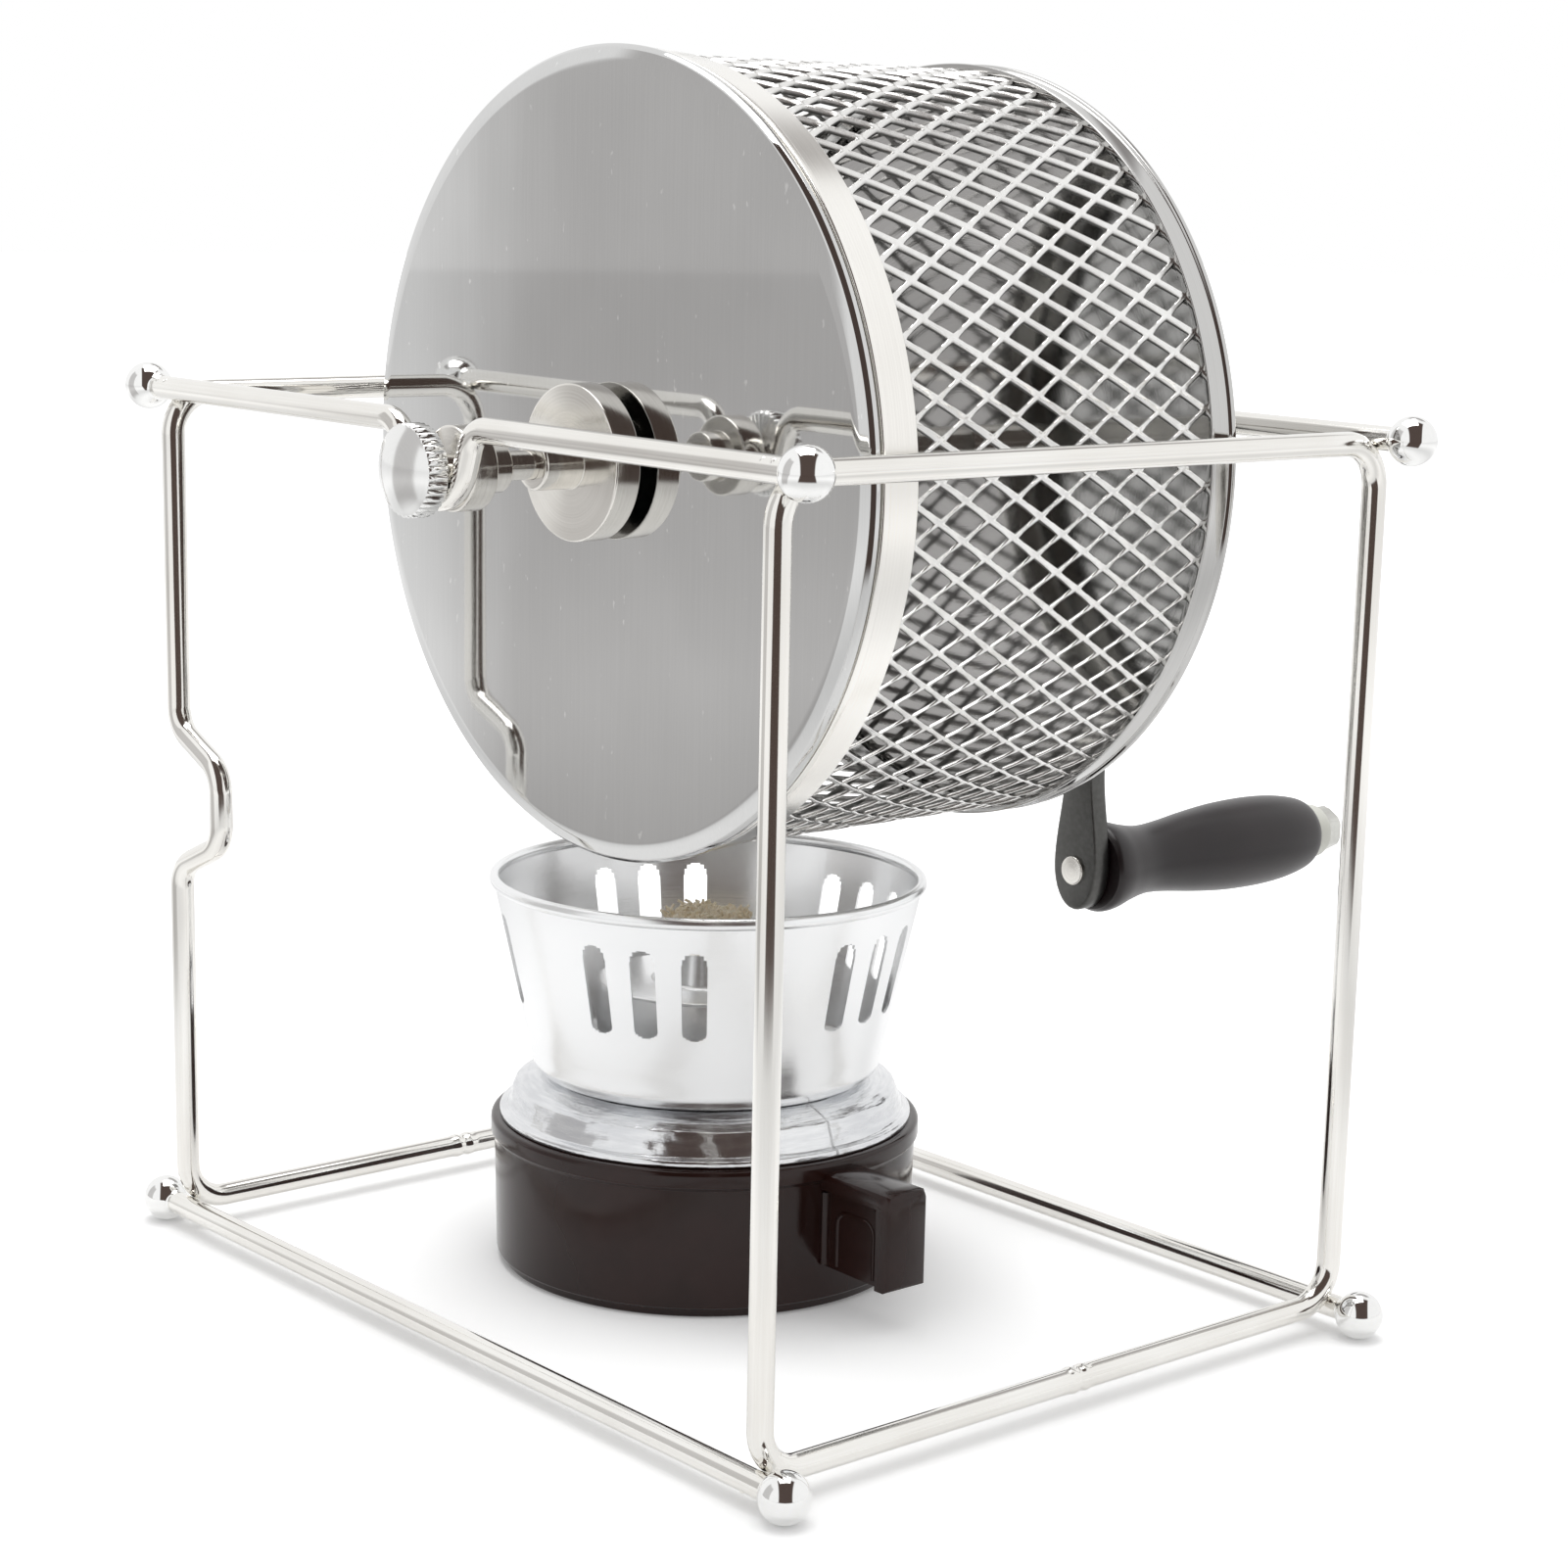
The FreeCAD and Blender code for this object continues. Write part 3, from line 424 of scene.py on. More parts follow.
CRINKLED = Metal(
    "creased_aluminium", "spun_aluminium", (0.90, 0.905, 0.91), (0.66, 0.67, 0.69),
    0.15, 0.08, Grain.CREASED, 0.16,
)
GRIP = Moulded(
    "satin_grip", "dark_grip", (0.013, 0.007, 0.008), (0.008, 0.004, 0.005),
    0.32, 0.015, 2.2,
)
NYLON = Moulded(
    "white_nylon", "nylon", (0.80, 0.80, 0.74), (0.72, 0.72, 0.64),
    0.38, 0.01, 1.0,
)
BROWN = Moulded(
    "glossy_brown", "brown_plastic", (0.030, 0.011, 0.009), (0.022, 0.008, 0.006),
    0.15, 0.012, 0.35, 0.36,
)
NUT = Metal(
    "domed_chrome", "ball_chrome", (0.92, 0.92, 0.91), (0.84, 0.84, 0.83),
    0.13, 0.05, Grain.TURNED, 0.002,
)
WICK = Fibre(
    "frayed_fibre", "wick_fibre", (0.96, 0.88, 0.72), (0.84, 0.70, 0.48),
)


@dataclass
class Shape:
    """Points, faces and surface directions of a mesh that is being built, in millimetres."""

    points: list[Vector] = field(default_factory=list)
    faces: list[tuple[int, ...]] = field(default_factory=list)
    lay: list[Corner] = field(default_factory=list)

    def add(self, other: "Shape") -> "Shape":
        """Take in another shape.

        Args:
            other: The shape to add.

        Returns:
            This shape.
        """
        start = len(self.points)
        self.points += other.points
        self.lay += other.lay
        self.faces += [tuple(start + i for i in face) for face in other.faces]
        return self

    def grid(self, rows: int, columns: int, wrap_rows: bool) -> None:
        """Make the faces of points that were added row by row, each row a ring.

        Args:
            rows: Number of rows.
            columns: Points in a row.
            wrap_rows: Whether the last row joins the first.
        """
        start = len(self.points) - rows * columns
        for i in range(rows if wrap_rows else rows - 1):
            for j in range(columns):
                a = start + i * columns + j
                b = start + i * columns + (j + 1) % columns
                c = start + (i + 1) % rows * columns + (j + 1) % columns
                d = start + (i + 1) % rows * columns + j
                self.faces.append((a, b, c, d))

    def caps(self, columns: int) -> None:
        """Close both ends of a shape whose rows have this many points."""
        last = len(self.points) - columns
        self.faces += [tuple(range(columns)), tuple(range(last, last + columns))]


@dataclass
class Piece:
    """What a finished piece is called, what it rides on and what it stands for."""

    name: str
    body: str
    finish: Finish
    nodes: tuple[str, ...] = ()
    crease: float = 35.0

    def make(self, shape: Shape, merge: float = 0.002) -> None:
        """Turn a shape into the piece.

        Args:
            shape: The shape in millimetres.
            merge: Points closer than this are one, in millimetres.
        """
        mesh = bpy.data.meshes.new(self.name)
        mesh.from_pydata([p * MM for p in shape.points], [], shape.faces)
        lay = mesh.attributes.new("lay", "FLOAT_VECTOR", "POINT")
        lay.data.foreach_set("vector", np.array(shape.lay, np.float32).ravel())
        book = bmesh.new()
        book.from_mesh(mesh)
        bmesh.ops.remove_doubles(book, verts=book.verts, dist=merge * MM)
        bmesh.ops.dissolve_degenerate(book, edges=book.edges, dist=merge * MM * 0.5)
        bmesh.ops.recalc_face_normals(book, faces=book.faces)
        book.to_mesh(mesh)
        book.free()
        mesh.shade_smooth()
        mesh.set_sharp_from_angle(angle=math.radians(self.crease))
        piece = bpy.data.objects.new(self.name, mesh)
        bpy.context.collection.objects.link(piece)
        mesh.materials.append(self.finish.material())
        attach(piece, self.body)
        if self.nodes:
            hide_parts(*self.nodes)
        LOG.info("%s: %d faces on %s", self.name, len(mesh.polygons), self.body)

    def turn(
        self, corners: Sequence[Corner], line: Vector, axis: Axis, steps: int, closed: bool = True
    ) -> None:
        """Turn the piece about a line, from the corners of its half section."""
        self.make(turned(eased(corners), line, axis, steps, closed))


def eased(corners: Sequence[Corner], steps: int = 4) -> list[tuple[float, float]]:
    """Round the corners of a closed outline.

    Args:
        corners: Radius, station and rounding radius of each corner.
        steps: Divisions of each round.

    Returns:
        The outline's points.
    """
    out: list[tuple[float, float]] = []
    for i, (r, s, ease) in enumerate(corners):
        here = Vector((r, s))
        back = Vector(corners[i - 1][:2]) - here
        ahead = Vector(corners[(i + 1) % len(corners)][:2]) - here
        if ease <= 0 or back.length < 1e-6 or ahead.length < 1e-6:
            out.append((r, s))
            continue
        half = back.angle(ahead) / 2
        if half > math.radians(88):
            out.append((r, s))
            continue
        reach = min(ease / math.tan(half), back.length * 0.49, ahead.length * 0.49)
        start = here + back.normalized() * reach
        end = here + ahead.normalized() * reach
        for k in range(steps + 1):
            t = k / steps
            place = start * (1 - t) ** 2 + here * 2 * t * (1 - t) + end * t**2
            out.append((place.x, place.y))
    return out


def turned(
    outline: Sequence[tuple[float, float]],
    centre: Vector,
    axis: Axis,
    steps: int = 96,
    closed: bool = True,
    warp: Callable[[float, float, float], tuple[float, float]] | None = None,
) -> Shape:
    """Turn an outline about a line.

    Args:
        outline: Radius and station of each point.
        centre: A point of the line; stations count from the origin along the axis.
        axis: The line's direction.
        steps: Divisions of the full turn.
        closed: Whether the outline is closed.
        warp: Changes radius and station at an angle, for knurls and dents.

    Returns:
        The turned shape.
    """
    shape = Shape()
    run = 0.0
    for i, (r, s) in enumerate(outline):
        if i:
            run += math.dist(outline[i - 1], (r, s))
        for k in range(steps):
            angle = math.tau * k / steps
            radius, station = warp(r, s, angle) if warp else (r, s)
            u, v = radius * math.cos(angle), radius * math.sin(angle)
            if axis is Axis.Y:
                point = Vector((centre.x + u, station, centre.z + v))
            elif axis is Axis.Z:
                point = Vector((centre.x + u, centre.y + v, station))
            else:
                point = Vector((station, centre.y + u, centre.z + v))
            shape.points.append(point)
            shape.lay.append((angle * 10, run, r))
    shape.grid(len(outline), steps, closed)
    return shape


def wire_path(corners: Sequence[Vector], radii: Sequence[float], pitch: float = 0.12) -> list[Vector]:
    """Follow straight runs joined by tangent bends.

    Args:
        corners: The corner points, with both ends.
        radii: The bend radius at each inner corner.
        pitch: Angle of one division of a bend, in radians.

    Returns:
        The path's points.
    """
    path = [corners[0]]
    for i, radius in enumerate(radii):
        back = (corners[i] - corners[i + 1]).normalized()
        ahead = (corners[i + 2] - corners[i + 1]).normalized()
        half = back.angle(ahead) / 2
        middle = corners[i + 1] + (back + ahead).normalized() * (radius / math.sin(half))
        start = corners[i + 1] + back * (radius / math.tan(half))
        end = corners[i + 1] + ahead * (radius / math.tan(half))
        turn = math.pi - 2 * half
        count = max(3, round(turn / pitch))
        first, last = start - middle, end - middle
        for k in range(count + 1):
            t = k / count
            spoke = (first * math.sin((1 - t) * turn) + last * math.sin(t * turn)) / math.sin(turn)
            path.append(middle + spoke)
    path.append(corners[-1])
    return path


def split_runs(path: Sequence[Vector], longest: float, closed: bool) -> list[Vector]:
    """Divide long straight runs.

    Args:
        path: The points.
        longest: The longest run to leave.
        closed: Whether the last point joins the first.

    Returns:
        The denser path.
    """
    out: list[Vector] = []
    count = len(path) if closed else len(path) - 1
    for i in range(count):
        a, b = path[i], path[(i + 1) % len(path)]
        parts = max(1, math.ceil((b - a).length / longest))
        out += [a.lerp(b, k / parts) for k in range(parts)]
    if not closed:
        out.append(path[-1])
    return out


def tube(
    path: Sequence[Vector],
    radius: float,
    sides: int = 20,
    closed: bool = False,
    swell: Callable[[Vector], float] | None = None,
) -> Shape:
    """Sweep a round section along a path.

    Args:
        path: The points of its middle line.
        radius: The section's radius.
        sides: Points round the section.
        closed: Whether the path is a loop.
        swell: The factor on the radius at a place.

    Returns:
        The tube.
    """
    shape = Shape()
    count = len(path)
    tangents = []
    for i in range(count):
        before = path[i - 1] if closed or i else path[0]
        after = path[(i + 1) % count] if closed or i < count - 1 else path[-1]
        tangents.append((after - before).normalized())
    side = tangents[0].orthogonal().normalized()
    run = 0.0
    for i, point in enumerate(path):
        if i:
            side = tangents[i - 1].rotation_difference(tangents[i]) @ side
            run += (point - path[i - 1]).length
        side = (side - tangents[i] * side.dot(tangents[i])).normalized()
        other = tangents[i].cross(side)
        size = radius * (swell(point) if swell else 1.0)
        for k in range(sides):
            angle = math.tau * k / sides
            shape.points.append(point + (side * math.cos(angle) + other * math.sin(angle)) * size)
            shape.lay.append((angle * radius, run, radius))
    shape.grid(count, sides, closed)
    if not closed:
        shape.caps(sides)
    return shape


@dataclass
class WireStand:
    """The welded wire frame: two side loops, four cross rails and eight balls."""

    wire_r: float = 2.5
    ball_r: float = 5.0
    ball_flat_r: float = 2.6
    span_x: float = 218.0
    span_y: float = 156.8
    span_z: float = 182.0
    loop_inset: float = 8.3
    bend_r: float = 9.0
    weld_gap: float = 0.04
    notch_depth: float = 17.0
    notch_half: float = 15.5
    notch_flat_half: float = 8.0
    notch_bend_r: float = 7.0
    notch_rise: float = 2.5
    mouth_half: float = 12.5
    foot_half: float = 7.5
    foot_r: float = 10.3
    shoulder_r: float = 6.0
    axle_drop: float = 8.6
    neck_r: float = 2.9
    saddle_gap: float = 0.1
    joint_right: float = 3.0
    joint_left: float = -4.0
    bead_r: float = 0.9
    bead_off: float = 1.5

    @property
    def low(self) -> float:
        """Height of the bottom rails."""
        return self.ball_r

    @property
    def high(self) -> float:
        """Height of the top rails."""
        return self.ball_r + self.span_z

    @property
    def nest(self) -> float:
        """How far a loop stands outside the rails that nest in its bends."""
        reach = self.bend_r + 2 * self.wire_r + self.weld_gap
        return self.bend_r - reach / math.sqrt(2)

    def loop_path(self, x: float, notched: bool) -> list[Vector]:
        """Lay out a side loop.

        Args:
            x: Its plane.
            notched: Whether the front upright has the finger notch.

        Returns:
            The closed path.
        """
        y = self.span_y / 2 + self.nest
        low, high = self.low - self.nest, self.high + self.nest
        corners = [Vector((x, 0, low)), Vector((x, -y, low))]
        radii = [self.bend_r]
        if notched:
            middle = (self.low + self.high) / 2 + self.notch_rise
            inner = x + self.notch_depth
            corners += [
                Vector((x, -y, middle - self.notch_half)),
                Vector((inner, -y, middle - self.notch_flat_half)),
                Vector((inner, -y, middle + self.notch_flat_half)),
                Vector((x, -y, middle + self.notch_half)),
            ]
            radii += [self.notch_bend_r] * 4
        corners += [Vector((x, -y, high)), Vector((x, y, high)), Vector((x, y, low)), Vector((x, 0, low))]
        radii += [self.bend_r] * 3
        return split_runs(wire_path(corners, radii)[:-1], 6.0, True)

    def joint_swell(self, at: float) -> Callable[[Vector], float]:
        """Describe the flattened butt weld at the bottom of a loop.

        Args:
            at: Where the weld is along Y.

        Returns:
            The factor on the wire's radius at a place.
        """

        def swell(point: Vector) -> float:
            """Swell a little each side of the weld, with a groove in it.

            Args:
                point: A place on the wire's middle line.

            Returns:
                The factor on the wire's radius.
            """
            if point.z > self.low + self.bend_r:
                return 1.0
            off = point.y - at
            return 1.0 + 0.10 * math.exp(-((abs(off) - 1.6) ** 2) / 0.9) - 0.05 * math.exp(-(off**2) / 0.4)

        return swell

    def loop(self, name: str, x: float, notched: bool, joint: float) -> None:
        """Build one side loop.

        Args:
            name: The CAD node that it stands for.
            x: Its plane.
            notched: Whether it has the finger notch.
            joint: Where its butt weld is along Y.
        """
        path = self.loop_path(x, notched)
        dense: list[Vector] = []
        for i, point in enumerate(path):
            after = path[(i + 1) % len(path)]
            dense.append(point)
            near = point.z < self.low + 5 and abs((point.y + after.y) / 2 - joint) < 8
            if near:
                dense += [point.lerp(after, k / 10) for k in range(1, 10)]
        shape = tube(dense, self.wire_r, 24, True, self.joint_swell(joint))
        Piece(f"{name}_wire", "frame", WIRE, (name,)).make(shape)

    def rail(self, name: str, y: float, z: float, saddle: bool) -> None:
        """Build one cross rail.

        Args:
            name: The CAD node that it stands for.
            y: Its place along Y.
            z: Its height.
            saddle: Whether it has the U saddle for the axle.
        """
        end = self.span_x / 2 - math.sqrt(self.ball_r**2 - self.ball_flat_r**2)
        corners = [Vector((-end, y, z)), Vector((end, y, z))]
        radii: list[float] = []
        if saddle:
            foot = z - self.axle_drop - self.neck_r - self.saddle_gap - self.wire_r
            corners[1:1] = [
                Vector((-self.mouth_half, y, z)),
                Vector((-self.foot_half, y, foot)),
                Vector((self.foot_half, y, foot)),
                Vector((self.mouth_half, y, z)),
            ]
            radii = [self.shoulder_r, self.foot_r, self.foot_r, self.shoulder_r]
        path = split_runs(wire_path(corners, radii), 8.0, False)
        Piece(f"{name}_wire", "frame", WIRE, (name,)).make(tube(path, self.wire_r, 24))

    def balls(self, name: str, z: float) -> None:
        """Build the four balls on one pair of rails.

        Args:
            name: The CAD node that they stand for.
            z: Their height.
        """
        shape = Shape()
        for side_x in (-1, 1):
            for side_y in (-1, 1):
                centre = Vector((0, side_y * self.span_y / 2, z))
                middle = side_x * self.span_x / 2
                outline = []
                first = math.asin(self.ball_flat_r / self.ball_r)
                for k in range(33):
                    angle = math.pi - first - (math.pi - first) * k / 32
                    outline.append(
                        (self.ball_r * math.sin(angle), middle + side_x * self.ball_r * math.cos(angle))
                    )
                collar = middle - side_x * (math.cos(first) * self.ball_r + 0.5)
                outline.insert(0, (self.wire_r * 0.99, collar))
                shape.add(turned(outline, centre, Axis.X, 48, False))
        Piece(f"{name}_chrome", "frame", BALL, (name,), 60).make(shape)

    def welds(self) -> None:
        """Build the small weld beads where loops and rails touch."""
        shape = Shape()
        loop_x = self.span_x / 2 - self.loop_inset
        rng = random.Random(5)
        for side_x in (-1, 1):
            for side_y in (-1, 1):
                for z, lift in ((self.low, -1), (self.high, 1)):
                    touch = Vector((side_x * loop_x, side_y * self.span_y / 2, z))
                    out = Vector((0, side_y, lift)).normalized()
                    for end in (-1, 1):
                        middle = touch + out * self.wire_r * 0.7 + Vector((end * self.bead_off, 0, 0))
                        shape.add(self._bead(middle, self.bead_r, rng))
        Piece("weld_beads", "frame", WIRE, (), 60).make(shape)

    def _bead(self, middle: Vector, radius: float, rng: random.Random) -> Shape:
        """Shape one weld bead.

        Args:
            middle: Its middle.
            radius: Its size.
            rng: Gives its small differences.

        Returns:
            The bead.
        """
        angles = [math.pi * k / 10 for k in range(11)]
        outline = [(radius * math.sin(a), -radius * math.cos(a)) for a in angles]
        shift = rng.random() * 10

        def dent(r: float, s: float, angle: float) -> tuple[float, float]:
            """Make the bead uneven."""
            lump = noise.noise(Vector((math.cos(angle) + shift, math.sin(angle), s))) * 0.25
            return r * (1 + lump), s * (1 + lump) + middle.x

        return turned(outline, middle, Axis.X, 14, False, dent)

    def build(self) -> None:
        """Build the whole stand."""
        loop_x = self.span_x / 2 - self.loop_inset
        rail_y = self.span_y / 2
        self.loop("left_loop", -loop_x, True, self.joint_left)
        self.loop("right_loop", loop_x, False, self.joint_right)
        self.rail("top_front_rail", -rail_y, self.high, True)
        self.rail("top_rear_rail", rail_y, self.high, True)
        self.rail("bottom_front_rail", -rail_y, self.low, False)
        self.rail("bottom_rear_rail", rail_y, self.low, False)
        self.balls("ball_feet", self.low)
        self.balls("ball_ends", self.high)
        self.welds()


@dataclass
class OnAxle:
    """The sizes that the drum, its lid and its crank share, all measured along one axle."""

    axle_z: float = 178.4
    neck_r: float = 2.9
    front_y: float = -39.2
    sheet: float = 0.8
    lid_r: float = 80.6
    lid_depth: float = 2.8
    arm_y: float = 98.4
    arm_t: float = 5.0
    nut_w: float = 5.0

    @property
    def line(self) -> Vector:
        """A point of the axle's line."""
        return Vector((0, 0, self.axle_z))


@dataclass
class Drum(OnAxle):
    """The turning drum: axle, collars, bands, expanded metal and rear plate."""

    back_y: float = 59.4
    drum_r: float = 79.7
    bead_w: float = 1.8
    bead_h: float = 0.6
    joint_w: float = 1.0
    band_w: float = 12.9
    rear_band_w: float = 7.5
    axle_r: float = 4.0
    collar_r: float = 8.3
    collar_w: float = 6.0
    step_r: float = 5.1
    step_w: float = 5.6
    saddle_y: float = 78.4
    wire_r: float = 2.5
    side_gap: float = 0.3
    thread: float = 4.0
    hub_r: float = 15.0
    hub_w: float = 5.0
    mesh_t: float = 0.8
    around: int = 65
    along: int = 6
    strand: float = 1.25
    tilt: float = 0.42
    corner_power: float = 1.06
    wall_inset: float = 0.42
    tuck: float = 3.0
    lip_setback: float = 0.6

    def turn(self, piece: Piece, corners: Sequence[Corner], steps: int = 96) -> None:
        """Turn one piece about the axle."""
        piece.turn(corners, self.line, Axis.Y, steps)

    def axle(self) -> None:
        """Build the stepped axle."""
        front = -self.saddle_y - self.wire_r - self.side_gap - self.thread
        shoulder = self.saddle_y - self.wire_r - self.side_gap - self.collar_w
        end = self.arm_y + self.arm_t + self.nut_w - 1
        corners = [
            (0, front, 0),
            (self.neck_r, front, 0.5),
            (self.neck_r, self.front_y + self.sheet, 0),
            (self.axle_r, self.front_y + self.sheet, 0.2),
            (self.axle_r, shoulder, 0.2),
            (self.neck_r, shoulder, 0),
            (self.neck_r, end, 0.5),
            (0, end, 0),
        ]
        Piece("axle_bar", "drum", TURNED, ("axle",)).turn(corners, self.line, Axis.Y, 48, False)

    def collars(self) -> None:
        """Build the front, rear and crank collars."""
        bore = self.neck_r + FIT
        front = -self.saddle_y + self.wire_r + self.side_gap
        crank = self.saddle_y + self.wire_r + self.side_gap
        sleeve = self.arm_y
        for name, start, end in (("front_collar", front, front + self.collar_w + self.step_w),
                                 ("crank_collar", crank, sleeve)):
            self.turn(
                Piece(f"{name}_turned", "drum", TURNED, (name,)),
                [
                    (bore, start, 0),
                    (self.collar_r, start, 0.6),
                    (self.collar_r, start + self.collar_w, 0.6),
                    (self.step_r, start + self.collar_w, 0.2),
                    (self.step_r, end, 0.5),
                    (bore, end, 0),
                ],
            )
        rear = self.saddle_y - self.wire_r - self.side_gap
        self.turn(
            Piece("rear_collar_turned", "drum", TURNED, ("rear_collar",)),
            [
                (bore, rear - self.collar_w, 0),
                (self.collar_r, rear - self.collar_w, 0.3),
                (self.collar_r, rear, 0.6),
                (bore, rear, 0),
            ],
        )
        self.turn(
            Piece("rear_hub_turned", "drum", TURNED, ("rear_hub",)),
            [
                (self.axle_r + FIT, self.back_y, 0),
                (self.hub_r, self.back_y, 0),
                (self.hub_r, self.back_y + self.hub_w, 0.6),
                (self.axle_r + FIT, self.back_y + self.hub_w, 0),
            ],
        )

    def bands(self) -> None:
        """Build the front ring and the rear plate."""
        lid_back = self.front_y + self.lid_depth
        lip = self.lid_r - self.sheet - 0.3
        bead = lid_back + self.joint_w
        mesh_start = self.front_y + self.band_w
        inner = self.drum_r - self.sheet
        self.turn(
            Piece("front_band_ring", "drum", BAND, ("front_band",)),
            [
                (lip - self.sheet, lid_back - self.lip_setback, 0.2),
                (lip, lid_back - self.lip_setback, 0.2),
                (lip, lid_back, 0),
                (self.lid_r - self.sheet - 0.6, lid_back + 0.1, 0.2),
                (self.lid_r - self.sheet - 0.6, bead, 0.2),
                (self.drum_r + self.bead_h, bead, 0.5),
                (self.drum_r + self.bead_h, bead + self.bead_w, 0.5),
                (self.drum_r, bead + self.bead_w, 0.3),
                (self.drum_r, mesh_start, 0.3),
                (inner, mesh_start, 0.1),
                (inner, lid_back, 0),
                (lip - self.sheet, lid_back, 0),
            ],
            256,
        )
        mesh_end = self.back_y - self.rear_band_w
        self.turn(
            Piece("rear_plate_pressed", "drum", REAR, ("rear_plate",)),
            [
                (self.axle_r + FIT, self.back_y - self.sheet, 0),
                (inner - 1.5, self.back_y - self.sheet, 0),
                (inner, self.back_y - self.sheet - 1.5, 0),
                (inner, mesh_end, 0.1),
                (self.drum_r + self.bead_h, mesh_end, 0.3),
                (self.drum_r + self.bead_h, mesh_end + 0.8, 0.3),
                (self.drum_r, mesh_end + 0.8, 0.2),
                (self.drum_r, self.back_y - 2.0, 0.3),
                (self.drum_r + self.bead_h, self.back_y - 1.6, 0.4),
                (self.drum_r + self.bead_h, self.back_y - 0.5, 0.5),
                (self.drum_r, self.back_y, 0.5),
                (self.axle_r + FIT, self.back_y, 0),
            ],
            256,
        )

    def mesh_cell(self, width: float, length: float, rounds: int) -> list[list[Corner]]:
        """Shape one diamond of the expanded metal, flat, as rings of points.

        Args:
            width: Pitch round the drum.
            length: Pitch along it.
            rounds: Points in each quarter.

        Returns:
            Rings from the middle of the strands to the opening's inner edge;
            each point is across, along and height.
        """
        slant = math.hypot(width, length)
        half_u = width / 2 - self.strand / 2 * slant / length
        half_v = length / 2 - self.strand / 2 * slant / width
        outer, edge = [], []
        for quarter in range(4):
            for k in range(rounds):
                t = (1.0 - math.cos(math.pi * k / rounds)) / 2
                a = math.pi / 2 * (quarter + t)
                c, s = math.cos(a), math.sin(a)
                spread = abs(c) + abs(s)
                outer.append((width / 2 * c / spread, length / 2 * s / spread))
                power = self.corner_power
                round_off = (abs(c) ** power + abs(s) ** power) ** (1 / power)
                edge.append((half_u * c / round_off * 0.97, half_v * s / round_off * 0.97))
        rings = []
        thick = self.mesh_t / 2
        for share, height in ((0.0, thick), (0.72, thick), (1.0, thick * 0.55), (1.0, -thick * 0.55),
                              (0.72, -thick), (0.0, -thick)):
            ring = []
            for (ou, ov), (eu, ev) in zip(outer, edge):
                u, v = ou + (eu - ou) * share, ov + (ev - ov) * share
                lean = self.tilt * share * math.tanh(2.2 * eu / half_u)
                ring.append((u, v, height + lean))
            rings.append(ring)
        return rings

    def mesh(self) -> None:
        """Build the expanded metal wall."""
        radius = self.drum_r - self.sheet - self.wall_inset
        start = self.front_y + self.band_w
        end = self.back_y - self.rear_band_w
        length = (end - start) / self.along
        width = math.tau * radius / self.around
        rings = self.mesh_cell(width, length, 6)
        points_in_ring = len(rings[0])
        shape = Shape()
        for row in range(-1, 2 * self.along + 2):
            middle = start + length / 2 * row
            for i in range(self.around):
                turn = (i + (0.5 if row % 2 else 0.0)) * width / radius
                for ring in rings:
                    for u, v, height in ring:
                        angle = turn + u / radius
                        along = min(max(middle + v, start - self.tuck), end + self.tuck)
                        r = radius + height
                        shape.points.append(
                            Vector((r * math.sin(angle), along, self.axle_z + r * math.cos(angle)))
                        )
                        shape.lay.append((angle * radius, along, r))
                shape.grid(len(rings), points_in_ring, False)
        Piece("expanded_metal_wall", "drum", MESH, ("drum_mesh",), 50).make(shape, 0.004)

    def build(self) -> None:
        """Build the whole drum."""
        self.axle()
        self.collars()
        self.bands()
        self.mesh()


